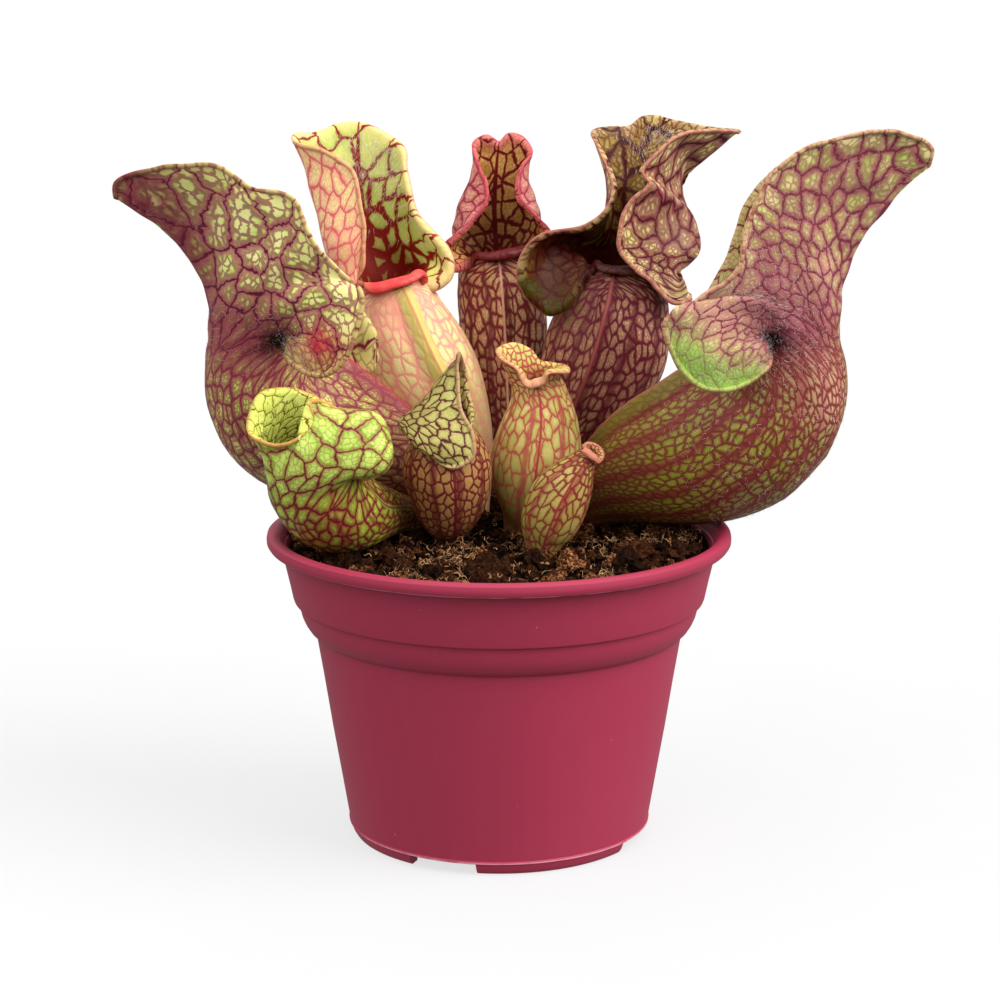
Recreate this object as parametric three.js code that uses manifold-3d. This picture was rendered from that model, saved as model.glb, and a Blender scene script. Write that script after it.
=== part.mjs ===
// Potted pitcher plant: five grown pitchers and four young ones in a round nursery pot of soil.
// Millimetres, +Z up. The foot stands on Z = 0 and the origin is under the middle of the whole plant.
import * as THREE from "three";
import { LoftGeometry } from "three/addons/geometries/LoftGeometry.js";
import { mergeVertices } from "three/addons/utils/BufferGeometryUtils.js";
import Module from "manifold-3d";

// Driving dimensions of the pot
const POT_LIP_RADIUS = 60;
const POT_HEIGHT = 80.8;
const POT_WALL = 1.5;
const FOOT_OUTER_RADIUS = 37.4;
const FOOT_INNER_RADIUS = 34.4;
const FOOT_HEIGHT = 3.4;
const FLOOR_TOP = 5;
const FOOT_GAP_COUNT = 4;
const FOOT_GAP_ANGLE = 28;
const FOOT_GAP_ROOF = 0.4;
const FIRST_GAP_AZIMUTH = -112;
const DRAIN_COUNT = 6;
const DRAIN_RADIUS = 3;
const DRAIN_CIRCLE_RADIUS = 24;
const POT_SIDES = 40;

// Driving dimensions of the soil
const SOIL_TOP = 76.6;
const SOIL_GAP = 0.55;
const SOIL_RINGS = 6;
const STEM_HOLE_GAP = 0.48;
const STEM_HOLE_SIDES = 12;
const STEM_HOLE_ROWS = 4;

// Driving dimensions that all pitchers share
const ROWS_UP_TUBE = 10;
const ROWS_UP_HOOD = 5;
const ROWS_OVER_CURL = 2;
const LIP_RISE = 0.8;
const LIP_TURN = 200;
const EDGE_CURL = 0.9;
const EDGE_TURN = 100;
const KEEL_HALF_ANGLE = 13;
const KEEL_START = 0.25;

// The leaves were measured on upright planes as seen from one standpoint in front of the pot.
const EYE_DISTANCE = 691;
const EYE_HEIGHT = 242.66;

const wasm = await Module();
wasm.setup();

/** A point seen at (x, z) on the upright plane y = plane, slid along the line of sight to depth y. */
function seen(x, z, y, plane) {
  const k = (EYE_DISTANCE + y) / (EYE_DISTANCE + plane);
  return new THREE.Vector3(x * k, y, EYE_HEIGHT + (z - EYE_HEIGHT) * k);
}

/** A number along a smooth run of values, at t from 0 to 1. */
function blend(values, t) {
  const points = values.map((value) => new THREE.Vector3(value, 0, 0));
  return new THREE.CatmullRomCurve3(points, false, "catmullrom", 0.5).getPoint(t).x;
}

/** One leaf: a tube that swells and narrows to a neck, then a rolled lip in front and a hood behind. */
class Pitcher {
  constructor(plan) {
    this.plan = { lip: 60, keel: 0, roll: 1.4, wall: 1.1, floorRow: 3, lift: 0.45, bow: 0.5, ...plan };
    const { root, stations, plane, front } = this.plan;
    const centres = root.map(([x, y, z]) => new THREE.Vector3(x, y, z));
    centres.push(...stations.map(([x, z, y]) => seen(x, z, y, plane)));
    this.spine = new THREE.CatmullRomCurve3(centres, false, "catmullrom", 0.5);
    this.across = [...root.map((s) => s[3]), ...stations.map((s) => s[3])];
    this.deep = [...root.map((s) => s[3]), ...stations.map((s) => s[4])];
    const facing = THREE.MathUtils.degToRad(front);
    this.facing = new THREE.Vector3(Math.cos(facing), Math.sin(facing), 0);
    this.neck = this.section(1);
    this.columns = this.makeColumns();
  }

  /** The tube's centre, half sizes and directions at v, 0 at the root and 1 at the neck. */
  section(v) {
    const along = this.spine.getTangent(v);
    const front = this.facing.clone().addScaledVector(along, -this.facing.dot(along)).normalize();
    const side = new THREE.Vector3().crossVectors(along, front);
    const centre = this.spine.getPoint(v);
    return { centre, across: blend(this.across, v), deep: blend(this.deep, v), along, front, side };
  }

  /** The tube's skin at v and at an angle round from the front, with the keel down the front. */
  skin(v, angle) {
    const s = this.section(v);
    const turn = THREE.MathUtils.degToRad(angle);
    const off = Math.abs(((angle + 540) % 360) - 180);
    const ridge = Math.max(0, 1 - off / KEEL_HALF_ANGLE);
    const swell = Math.sin(Math.PI * Math.min(1, Math.max(0, (v - KEEL_START) / (1 - KEEL_START)))) ** 0.7;
    return s.centre
      .clone()
      .addScaledVector(s.front, s.deep * Math.cos(turn) + this.plan.keel * swell * ridge)
      .addScaledVector(s.side, s.across * Math.sin(turn));
  }

  /** The outward direction square to the neck at an angle round from the front. */
  outward(angle) {
    const turn = THREE.MathUtils.degToRad(angle);
    const { front, side } = this.neck;
    return front.clone().multiplyScalar(Math.cos(turn)).addScaledVector(side, Math.sin(turn));
  }

  /** The collar's columns: the angle at the neck, three handles that shape the rise, and the edge's curl. */
  makeColumns() {
    const { lip, edge, tip, plane, roll, keel } = this.plan;
    const fore = keel > 0 ? KEEL_HALF_ANGLE : lip / 2;
    const middle = (fore + lip) / 2;
    const lipAngles = keel > 0 ? [0, fore, middle] : [0, fore];
    const last = edge.length - 1;
    const half = 180 - lip;
    const angleOf = (i) => (i <= tip ? lip + (half * i) / tip : 180 + (half * (i - tip)) / (last - tip));
    const lips = (list) => list.map((angle) => this.lipColumn(angle, roll));
    const hood = edge.map((mark, i) => this.hoodColumn(angleOf(i), mark, plane));
    return [...lips(lipAngles), ...hood, ...lips(lipAngles.slice(1).reverse().map((angle) => 360 - angle))];
  }

  /** A column that ends in the rolled lip. */
  lipColumn(angle, roll) {
    const rim = this.skin(1, angle);
    const up = (height) => rim.clone().addScaledVector(this.neck.along, height);
    const handles = [up(LIP_RISE / 3), up(LIP_RISE / 1.5), up(LIP_RISE + roll)];
    return { angle, handles, curl: roll, turn: LIP_TURN };
  }

  /** A column that rises to a mark on the hood's edge, pushed out by its flare and led by its way point. */
  hoodColumn(angle, [x, z, y, flare = 0, way], plane) {
    const rim = this.skin(1, angle);
    const end = seen(x, z, y, plane);
    const reach = rim.distanceTo(end);
    const first = rim
      .clone()
      .addScaledVector(this.neck.along, this.plan.lift * reach)
      .addScaledVector(this.outward(angle), flare * reach);
    const second = way ? seen(...way, plane) : end.clone().lerp(first, this.plan.bow);
    return { angle, handles: [first, second, end], curl: EDGE_CURL, turn: EDGE_TURN };
  }

  /** Rings of the leaf's middle skin from the root, up the tube and the collar, and over the curled edge. */
  rings() {
    const rings = [];
    for (let i = 0; i < ROWS_UP_TUBE; i++) {
      const v = i / (ROWS_UP_TUBE - 1);
      rings.push(this.columns.map(({ angle }) => this.skin(v, angle)));
    }
    const rises = this.columns.map(({ angle, handles: [first, second, end], curl }) => {
      const way = end.clone().sub(second).normalize();
      const stop = end.clone().addScaledVector(way, -curl);
      return { way, stop, curve: new THREE.CubicBezierCurve3(this.skin(1, angle), first, second, stop) };
    });
    for (let i = 1; i <= ROWS_UP_HOOD; i++) {
      rings.push(rises.map(({ curve }) => curve.getPoint(i / ROWS_UP_HOOD)));
    }
    for (let i = 1; i <= ROWS_OVER_CURL; i++) {
      rings.push(this.curlRing(rises, i / ROWS_OVER_CURL));
    }
    return rings;
  }

  /** One ring of the edge where it curls outward. */
  curlRing(rises, share) {
    const count = rises.length;
    return rises.map(({ way, stop }, i) => {
      const before = rises[(i + count - 1) % count].stop;
      const after = rises[(i + 1) % count].stop;
      const outward = after.clone().sub(before).cross(way).normalize();
      const turn = THREE.MathUtils.degToRad(this.columns[i].turn) * share;
      const radius = this.columns[i].curl;
      return stop
        .clone()
        .addScaledVector(way, radius * Math.sin(turn))
        .addScaledVector(outward, radius * (1 - Math.cos(turn)));
    });
  }

  /** The leaf as one closed body: outer skin up, over the edge, inner skin down to the hollow's floor. */
  geometry() {
    const middle = this.rings();
    const outer = shifted(middle, this.plan.wall / 2);
    const inner = shifted(middle, -this.plan.wall / 2).slice(this.plan.floorRow).reverse();
    const low = inner.at(-1);
    const floor = low.reduce((sum, p) => sum.add(p), new THREE.Vector3()).divideScalar(low.length);
    inner.push(low.map(() => floor.clone()));
    return new LoftGeometry([...outer, ...inner], { capStart: true });
  }

  /** The hole that the stem stands in: round the stem with a gap, from under its root to above the soil. */
  stemHole() {
    const grow = this.plan.wall / 2 + STEM_HOLE_GAP;
    const round = 1 / Math.cos(Math.PI / STEM_HOLE_SIDES);
    const sections = [];
    for (let row = 0; row < STEM_HOLE_ROWS; row++) {
      const { centre, across, deep, front, side } = this.section(row / (ROWS_UP_TUBE - 1));
      const ring = Array.from({ length: STEM_HOLE_SIDES }, (_, i) => {
        const turn = (i * 2 * Math.PI) / STEM_HOLE_SIDES;
        const point = centre.clone().addScaledVector(front, (deep + grow) * round * Math.cos(turn));
        return point.addScaledVector(side, (across + grow) * round * Math.sin(turn));
      });
      sections.push(ring);
    }
    const { along } = this.section(0);
    const bottom = sections[0].map((point) => point.clone().addScaledVector(along, -STEM_HOLE_GAP));
    return new LoftGeometry([bottom, ...sections], { capStart: true, capEnd: true });
  }
}

/** The rings moved along their own normals by a distance. */
function shifted(rings, distance) {
  const last = rings.length - 1;
  return rings.map((ring, i) =>
    ring.map((point, j) => {
      const round = ring[(j + 1) % ring.length].clone().sub(ring[(j + ring.length - 1) % ring.length]);
      const up = rings[Math.min(last, i + 1)][j].clone().sub(rings[Math.max(0, i - 1)][j]);
      return point.clone().addScaledVector(round.cross(up).normalize(), distance);
    }),
  );
}

/** A geometry as a solid that can be cut. */
function solid(geometry) {
  const bare = new THREE.BufferGeometry();
  bare.setAttribute("position", geometry.getAttribute("position"));
  bare.setIndex(geometry.getIndex());
  const welded = mergeVertices(bare, 1e-4);
  const mesh = new wasm.Mesh({
    numProp: 3,
    vertProperties: new Float32Array(welded.getAttribute("position").array),
    triVerts: new Uint32Array(welded.getIndex().array),
  });
  return new wasm.Manifold(mesh);
}

/** A cut solid as a geometry again. */
function geometryOf(cut) {
  const mesh = cut.getMesh();
  const geometry = new THREE.BufferGeometry();
  geometry.setAttribute("position", new THREE.BufferAttribute(new Float32Array(mesh.vertProperties), 3));
  geometry.setIndex(new THREE.BufferAttribute(new Uint32Array(mesh.triVerts), 1));
  geometry.computeVertexNormals();
  return geometry;
}

/** A profile of [radius, height] pairs turned round the Z axis. */
function turned(profile, sides) {
  const points = profile.map(([radius, height]) => new THREE.Vector2(radius, height));
  return new THREE.LatheGeometry(points, sides).rotateX(Math.PI / 2);
}

/** The pot: a rolled lip, two bands under it, a tapered wall and a ring foot with gaps. */
function makePot() {
  const profile = [
    [0, FOOT_HEIGHT],
    [FOOT_INNER_RADIUS, FOOT_HEIGHT],
    [FOOT_INNER_RADIUS, 0],
    [FOOT_OUTER_RADIUS, 0],
    [38.7, 1.3],
    [39.3, FOOT_HEIGHT],
    [47.65, 54.9],
    [49.6, 56],
    [51.2, 59],
    [52, 62.7],
    [53.4, 63.6],
    [56.4, 77],
    [59.1, 77.5],
    [POT_LIP_RADIUS, 78.4],
    [POT_LIP_RADIUS, 79.9],
    [59.2, POT_HEIGHT],
    [57.6, POT_HEIGHT],
    [56.6, 80.1],
    [56.4 - POT_WALL, 76.5],
    [53.4 - POT_WALL, 63.8],
    [50.4, 62.5],
    [49.4, 58.8],
    [47.65 - POT_WALL, 56.6],
    [39.3 - POT_WALL, FLOOR_TOP],
    [0, FLOOR_TOP],
  ];
  let pot = solid(turned(profile, POT_SIDES));
  for (let i = 0; i < FOOT_GAP_COUNT; i++) {
    pot = pot.subtract(solid(footGap(FIRST_GAP_AZIMUTH + (i * 360) / FOOT_GAP_COUNT)));
  }
  for (let i = 0; i < DRAIN_COUNT; i++) {
    const turn = (i * 2 * Math.PI) / DRAIN_COUNT;
    const drain = new THREE.CylinderGeometry(DRAIN_RADIUS, DRAIN_RADIUS, 8, 16).rotateX(Math.PI / 2);
    const x = DRAIN_CIRCLE_RADIUS * Math.cos(turn);
    const y = DRAIN_CIRCLE_RADIUS * Math.sin(turn);
    pot = pot.subtract(solid(drain.translate(x, y, FLOOR_TOP - 1)));
  }
  return geometryOf(pot);
}

/** A wedge that opens the foot ring at an azimuth. */
function footGap(azimuth) {
  const half = THREE.MathUtils.degToRad(FOOT_GAP_ANGLE / 2);
  const middle = THREE.MathUtils.degToRad(azimuth);
  const inner = FOOT_INNER_RADIUS - 4;
  const corner = (radius, turn) => new THREE.Vector2(radius * Math.cos(turn), radius * Math.sin(turn));
  const shape = new THREE.Shape([
    corner(inner, middle - half),
    corner(POT_LIP_RADIUS, middle - half),
    corner(POT_LIP_RADIUS, middle + half),
    corner(inner, middle + half),
  ]);
  const wedge = new THREE.ExtrudeGeometry(shape, { depth: FOOT_HEIGHT - FOOT_GAP_ROOF + 5, bevelEnabled: false });
  return wedge.translate(0, 0, -5);
}

/** The height of the soil's uneven top. */
function soilHeight(x, y) {
  const long = Math.sin((x + y) * 0.23 + 2.1);
  const waves = Math.sin(x * 0.31 + y * 0.13) + Math.sin(y * 0.37 - x * 0.11 + 1.3) + long;
  const crown = 1.5 * Math.exp(-(((x - 1) / 22) ** 2) - ((y - 14) / 26) ** 2);
  return SOIL_TOP + 0.22 * waves + crown;
}

/** The soil: it fills the pot up to a little under the lip, with a plain hole for each stem. */
function makeSoil(pitchers) {
  const wall = [
    [39.4 - POT_WALL, FLOOR_TOP + SOIL_GAP],
    [47.65 - POT_WALL, 56.6],
    [49.4, 58.8],
    [50.4, 62.5],
    [53.4 - POT_WALL, 63.8],
    [54.75, 75.8],
  ];
  const ring = (radius, height) =>
    Array.from({ length: POT_SIDES }, (_, i) => {
      const turn = (i * 2 * Math.PI) / POT_SIDES;
      const x = radius * Math.cos(turn);
      const y = radius * Math.sin(turn);
      return new THREE.Vector3(x, y, height ?? soilHeight(x, y));
    });
  const rings = wall.map(([radius, height]) => ring(radius - SOIL_GAP, height));
  for (let i = 0; i < SOIL_RINGS; i++) {
    rings.push(ring(53.2 * (1 - i / SOIL_RINGS)));
  }
  let soil = solid(new LoftGeometry(rings, { capStart: true, capEnd: true }));
  for (const pitcher of pitchers) {
    soil = soil.subtract(solid(pitcher.stemHole()));
  }
  return geometryOf(soil);
}

// Root: [x, y, z, radius] as built. Stations: [x, z, y, half width, half depth], x and z as seen.
// Edge: [x, z, y, flare, way point] as seen, round the hood from one end of the lip to the other.
const PITCHERS = {
  pitcher_left: {
    plane: 0,
    front: 14,
    lip: 62,
    keel: 4,
    bow: 0.58,
    root: [[-9, 23, 70, 3.2]],
    stations: [
      [-12, 83, 22.5, 5.4, 5.6],
      [-20, 93.5, 19, 8.6, 9.5],
      [-33, 100, 15, 12.5, 14],
      [-47, 105.5, 10, 16, 17.6],
      [-57, 112.5, 5, 16.5, 17.5],
      [-60.8, 121.5, 2, 14.5, 14.2],
      [-61, 131, 0, 12.4, 12.8],
    ],
    tip: 10,
    edge: [
      [-49, 127, 13.5],
      [-40, 121.5, 15.5, 0.2],
      [-32.5, 122, 16, 0.25],
      [-31.5, 131, 17, 0.2],
      [-38, 142, 18],
      [-46, 153, 18.5],
      [-56, 162.5, 18],
      [-66, 170, 16, -0.03],
      [-78, 173, 11, -0.06],
      [-89.5, 171.8, 4, -0.08],
      [-96.6, 167.2, -3, -0.09],
      [-90, 172.6, -9, -0.08],
      [-80, 174.7, -15, -0.06],
      [-70.5, 174.3, -19, -0.03],
      [-62, 169.3, -21.5],
      [-52, 166.2, -23.5],
      [-47.3, 156, -25.5],
      [-40.5, 148, -27],
      [-35.3, 142.5, -28, 0.1, [-43, 146, -31]],
      [-36.5, 133, -28, 0.1, [-42, 141, -32]],
      [-40, 124, -26.5, 0.1, [-44, 136, -31]],
      [-46.5, 121.2, -23, 0.1, [-47, 132, -29]],
      [-54, 126, -16.5, 0.05, [-54, 132, -20]],
    ],
    color: 0x7a3350,
  },
  pitcher_right: {
    plane: -2,
    front: 166,
    lip: 62,
    keel: 4.5,
    bow: 0.55,
    root: [[10, 22.5, 70, 3.2]],
    stations: [
      [15.5, 83.5, 21.5, 5.4, 5.8],
      [27, 92.2, 17, 9.4, 10],
      [41.7, 98.3, 10, 15.2, 17.2],
      [58, 103, 3, 18, 19.8],
      [69, 110, -1, 17.2, 17.8],
      [73.5, 120, -3, 14.8, 15.4],
      [73.8, 131, -4, 12.2, 12.4],
    ],
    tip: 11,
    edge: [
      [68.5, 124.5, -19, 0.05, [68.5, 131, -22]],
      [60, 118.2, -24, 0.1, [61, 130, -30]],
      [51.5, 118.5, -28, 0.1, [54, 132, -34]],
      [44.6, 126.5, -31, 0.1, [50, 138, -35]],
      [42.8, 135.5, -32, 0.1, [51, 143, -34]],
      [50, 140.6, -31, 0.05],
      [59.5, 148, -30],
      [62.2, 160, -29],
      [68, 172.5, -27],
      [80.5, 180.7, -23, -0.03],
      [94.5, 183.1, -16, -0.07],
      [108.6, 177.6, -7, -0.08],
      [100, 181.7, 1, -0.07],
      [88, 180.5, 8, -0.05],
      [76, 176.5, 12.5, -0.03],
      [65.5, 170.5, 15],
      [60.5, 160, 17],
      [56.5, 149, 18],
      [51.5, 138, 18],
      [53, 128, 16.5],
      [63, 125, 12],
    ],
    color: 0x9a4a64,
  },
  pitcher_back_left: {
    plane: 38,
    front: -65,
    lip: 64,
    keel: 2.5,
    bow: 0.5,
    roll: 1.6,
    root: [[-7, 34, 70, 3.2]],
    stations: [
      [-8, 84, 34, 5.4, 5.4],
      [-11, 97, 34.5, 9.4, 9.4],
      [-18.3, 110, 35.5, 14.6, 13.2],
      [-24.5, 122, 37, 14.6, 13],
      [-28, 132, 38, 12, 11.5],
      [-29.7, 138.6, 38, 9.8, 9.3],
    ],
    tip: 9,
    edge: [
      [-18.5, 138, 35, 0.2],
      [-13.2, 141, 37, 0.3],
      [-14, 147.5, 39, 0.2],
      [-18.5, 152.8, 41],
      [-22.5, 158, 43],
      [-24, 163.5, 45],
      [-25, 169.5, 48],
      [-25.8, 175, 51],
      [-29.5, 178.4, 54],
      [-37, 181.8, 57],
      [-42, 181.6, 57],
      [-47.5, 179.8, 54.5],
      [-54, 178.7, 49, 0.08],
      [-51.5, 175.5, 44, 0.15],
      [-44.6, 173.7, 39, 0.22],
      [-39, 169, 35, 0.28],
      [-36.6, 161, 32, 0.34],
      [-35.8, 153, 31, 0.4],
      [-36.8, 144.5, 31, 0.45],
      [-38.5, 139, 32, 0.3],
    ],
    color: 0xb8a14c,
  },
  pitcher_back: {
    plane: 42,
    front: -88,
    lip: 66,
    keel: 2,
    root: [[3, 46, 70, 3.2]],
    stations: [
      [3, 85, 47, 5, 5],
      [2.4, 98, 50, 7.8, 7.5],
      [1.8, 112, 53.5, 10.4, 10],
      [1.2, 127, 56, 11.6, 10.6],
      [0.4, 138.5, 57.5, 11.2, 10],
      [-0.3, 146, 57.5, 10.3, 8.5],
    ],
    tip: 10,
    edge: [
      [8, 144.8, 49.5],
      [12.8, 147.5, 49.5, 0.1],
      [12.8, 152.5, 50, 0.1],
      [8.8, 156.5, 50, 0.25],
      [5.2, 161, 51, 0.35],
      [4.6, 165.5, 52.5, 0.35],
      [5.5, 170, 56, 0.3],
      [8, 173.5, 60, 0.1],
      [6, 176.8, 62],
      [2.7, 177.8, 62.5],
      [0, 175.8, 62.5],
      [-3.2, 177.7, 62.5],
      [-6, 175.8, 62],
      [-5.8, 172.5, 60, 0.1],
      [-4.3, 169, 56, 0.3],
      [-2.9, 164.5, 53, 0.35],
      [-3.2, 159.5, 51, 0.35],
      [-7.8, 153.5, 50, 0.25],
      [-13.5, 149, 49.5, 0.1],
      [-14.3, 144, 49, 0.1],
      [-10.8, 142.5, 48.5],
    ],
    color: 0x8c3f52,
  },
  pitcher_back_right: {
    plane: 35,
    front: -105,
    lip: 64,
    keel: 3,
    bow: 0.6,
    root: [[13, 36, 70, 3.2]],
    stations: [
      [13.5, 84, 36.5, 5.4, 5.4],
      [18, 97, 38.5, 9.6, 9],
      [24.5, 110.5, 39.5, 14.6, 12.4],
      [29.5, 124, 40, 16.4, 13],
      [31.8, 135, 40, 13, 11],
      [32.6, 143, 40, 10.5, 9],
    ],
    tip: 13,
    edge: [
      [43.5, 139.5, 34, 0.3],
      [50.5, 136, 32.5, 0.55],
      [46, 134.5, 29.5, 0.8],
      [39.5, 140.7, 28, 0.95],
      [32.5, 147.8, 27, 0.95],
      [31.8, 153.5, 27, 0.9],
      [34, 160.6, 28, 0.76],
      [39.5, 165.8, 29.5, 0.64],
      [37.5, 169.5, 30.5, 0.58],
      [42, 175, 33, 0.48],
      [49, 179.8, 38, 0.34],
      [63, 180.3, 46, 0.1],
      [51, 181.4, 56],
      [39.5, 184, 59],
      [34, 181, 57],
      [25.5, 180, 51],
      [27.5, 174.5, 45],
      [30.7, 166, 39],
      [29.3, 159.5, 35],
      [23, 154.2, 32],
      [12, 152, 30, 0.1],
      [6.6, 146.5, 29, 0.2],
      [6.5, 139, 29, 0.25],
      [13, 131.5, 30, 0.25],
      [19.5, 135.5, 31.5, 0.1],
    ],
    color: 0x5f2438,
  },
  young_front_left: {
    plane: -18,
    front: 20,
    lip: 50,
    roll: 0.9,
    wall: 0.9,
    floorRow: 4,
    root: [
      [-13.5, 14, 70, 3],
      [-17.5, 10, 79, 3.8],
    ],
    stations: [
      [-24.5, 88.2, 3, 4.5, 4.5],
      [-31.5, 89.2, -6, 7.4, 7.4],
      [-39.5, 89, -16, 11.2, 10.9],
      [-45.7, 93, -22, 12.2, 11.4],
      [-46.8, 99.5, -25, 11, 11],
    ],
    tip: 6,
    edge: [
      [-36, 99.5, -16],
      [-32.5, 106, -16],
      [-38, 113, -18],
      [-46, 118.3, -21],
      [-53, 120.2, -24],
      [-59.5, 118.7, -26.5],
      [-62.2, 111.5, -30],
      [-60, 107.8, -33],
      [-54.5, 106.3, -35],
      [-49.5, 108.3, -35.5],
      [-47, 112.2, -35],
      [-47.5, 117.5, -33],
      [-40, 114.5, -24, 0.1, [-39, 119, -36]],
      [-31, 112, -24, 0.2, [-27, 119, -36]],
      [-28.5, 106, -24, 0.2, [-22, 110, -38]],
      [-29, 101, -24, 0.2, [-22.5, 102, -38]],
      [-32, 98.5, -24, 0.15, [-28, 98, -36]],
      [-36, 98.5, -24, 0.05, [-34, 97, -31]],
    ],
    color: 0x86a83a,
  },
  young_front: {
    plane: 2,
    front: -80,
    lip: 50,
    roll: 0.9,
    wall: 0.9,
    root: [[-11.5, 4, 70, 3]],
    stations: [
      [-12.6, 80, 1, 4.4, 4.4],
      [-13, 84, -3.5, 7.8, 7.4],
      [-12.9, 90, -7, 10, 9.4],
      [-13.3, 97, -9, 11.2, 10.4],
      [-13.9, 102, -9.5, 9.4, 8.6],
      [-14.6, 105.5, -9.5, 7.2, 6.6],
    ],
    tip: 4,
    edge: [
      [-9, 105, -13],
      [-6.6, 109, -8],
      [-8, 116, -5],
      [-9, 122, -5],
      [-9.8, 125.6, -7],
      [-10.4, 121, -10, 0.2, [-17, 118, -11]],
      [-10.4, 114.8, -13, 0.4, [-22, 113, -15]],
      [-9.2, 109.5, -16, 0.5, [-24, 110, -19]],
      [-7, 104.5, -18, 0.5, [-22, 107, -23]],
      [-7, 99.5, -19, 0.45, [-20, 104, -25]],
      [-11.5, 96.9, -20, 0.4, [-21, 101, -24]],
      [-15.8, 99, -19.5, 0.35, [-23, 102, -21]],
      [-18.5, 103, -16, 0.2, [-23, 104, -17]],
    ],
    color: 0xa9a24e,
  },
  young_back: {
    plane: 8,
    front: -90,
    lip: 40,
    roll: 0.9,
    wall: 0.9,
    root: [[4, 13.5, 70, 3]],
    stations: [
      [6.2, 81, 10.5, 4.4, 4.4],
      [7.8, 85, 7.5, 7.7, 7.2],
      [8.8, 90, 5.2, 10.2, 9.4],
      [9.7, 97.5, 4.2, 11.8, 10.5],
      [10.9, 107, 4, 9.6, 8.8],
      [10.7, 113.5, 4, 7.2, 6.6],
      [9.6, 118, 3.5, 6, 5.4],
    ],
    tip: 5,
    edge: [
      [12.5, 120.5, -4.2, 0.1],
      [17.4, 120.9, -1, 0.3],
      [17, 122.1, 4, 0.2],
      [13.5, 122.6, 8],
      [10.2, 123.4, 10],
      [8.3, 126.2, 10.5],
      [4.2, 128, 10],
      [0.3, 126.7, 6.5],
      [1.2, 124, 0.5, 0.1],
      [5, 121.6, -3.6],
    ],
    color: 0xb98a5a,
  },
  young_bud: {
    plane: 8,
    front: -90,
    lip: 50,
    roll: 0.8,
    wall: 0.9,
    floorRow: 5,
    root: [[11, -12, 70, 2.8]],
    stations: [
      [11.5, 73.6, -12, 3.6, 3.4],
      [11.9, 77, -12.3, 5.8, 5.3],
      [13.4, 81, -12.6, 7.4, 6.6],
      [15.2, 86, -13, 7.5, 6.7],
      [17.6, 90, -13.4, 6.7, 6],
      [20, 94, -13.8, 4.8, 4.4],
      [22, 96.6, -14, 3, 2.9],
      [23.1, 98, -14, 2.3, 2.3],
    ],
    tip: 3,
    edge: [
      [25.2, 96.9, -15.4],
      [26.3, 98.2, -14],
      [25.6, 100, -12.6],
      [24, 100.9, -12.2],
      [22.6, 100.5, -13],
      [22.2, 99, -14.6],
      [22.8, 97.6, -15.8],
    ],
    color: 0xb07c56,
  },
};

/** A named mesh with its own material. */
function mesh(name, geometry, color, roughness) {
  const part = new THREE.Mesh(geometry, new THREE.MeshStandardMaterial({ color, roughness, metalness: 0 }));
  part.name = name;
  return part;
}

const group = new THREE.Group();
const leaves = Object.entries(PITCHERS).map(([name, plan]) => [name, new Pitcher(plan)]);
group.add(mesh("pot", makePot(), 0xa52d50, 0.45));
group.add(mesh("soil", makeSoil(leaves.map(([, leaf]) => leaf)), 0x2c2018, 0.95));
for (const [name, leaf] of leaves) {
  group.add(mesh(name, leaf.geometry(), leaf.plan.color, 0.5));
}

// The pot's axis was the origin so far: the whole is moved so that its box stands on the origin.
const middle = new THREE.Box3().setFromObject(group).getCenter(new THREE.Vector3());
group.position.set(-middle.x, -middle.y, 0);

export default group;
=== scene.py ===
"""Potted pitcher plant: veined hooded leaves, a satin nursery pot and crumbly soil."""

import logging
import math
from dataclasses import dataclass, field
from enum import Enum

import bpy
import numpy as np
from mathutils import Matrix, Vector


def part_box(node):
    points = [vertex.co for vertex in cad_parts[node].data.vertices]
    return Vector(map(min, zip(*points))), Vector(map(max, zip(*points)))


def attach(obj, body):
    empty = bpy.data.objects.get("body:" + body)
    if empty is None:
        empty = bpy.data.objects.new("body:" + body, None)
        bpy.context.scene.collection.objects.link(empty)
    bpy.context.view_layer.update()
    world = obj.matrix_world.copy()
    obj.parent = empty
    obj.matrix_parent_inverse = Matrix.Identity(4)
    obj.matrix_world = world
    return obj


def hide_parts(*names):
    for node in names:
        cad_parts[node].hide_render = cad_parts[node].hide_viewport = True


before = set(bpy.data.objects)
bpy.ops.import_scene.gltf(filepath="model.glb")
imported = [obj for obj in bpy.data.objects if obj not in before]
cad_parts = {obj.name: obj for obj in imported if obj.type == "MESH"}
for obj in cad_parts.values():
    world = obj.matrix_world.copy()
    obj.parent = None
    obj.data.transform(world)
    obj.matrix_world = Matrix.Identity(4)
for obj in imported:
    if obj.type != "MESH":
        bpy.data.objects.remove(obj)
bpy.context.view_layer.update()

MM = 0.001
POT_LOW, POT_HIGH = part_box("pot")
AXIS_X = (POT_LOW[0] + POT_HIGH[0]) / 2
AXIS_Y = (POT_LOW[1] + POT_HIGH[1]) / 2

# The leaves were measured on upright planes as seen from one standpoint in front of the pot.
EYE_DISTANCE = 691.0
EYE_HEIGHT = 242.66
EYE_PITCH = 0.22
LENS = 98.7
SENSOR_WIDTH = 36.0
SHIFT = 0.001

LIP_RISE = 0.8
LIP_TURN = 200.0
EDGE_CURL = 0.9
EDGE_TURN = 100.0
KEEL_HALF_ANGLE = 13.0
KEEL_START = 0.25
KEEL_FULLNESS = 0.7
TUBE_ROWS_IN_SOLID = 10
TUBE_EVENING = 8
GIRTH_EVENING = 12

# Scales of the leaves' noise: cloudy patches, mottling and grain.
CLOUDS = 60.0
MOTTLE = 420.0
GRAIN = 2400.0
CELL_UNEVENNESS = 0.88

# The vein net: how its cells grow with the hood's girth, their least size against the belly's, how far
# they are drawn out on the hood, and a shift that gives each leaf a net of its own.
HOOD_GROWTH = 0.6
LEAST_CELL = 0.4
HOOD_DRAW = 0.9
NET_SHIFT = 7.3

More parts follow.
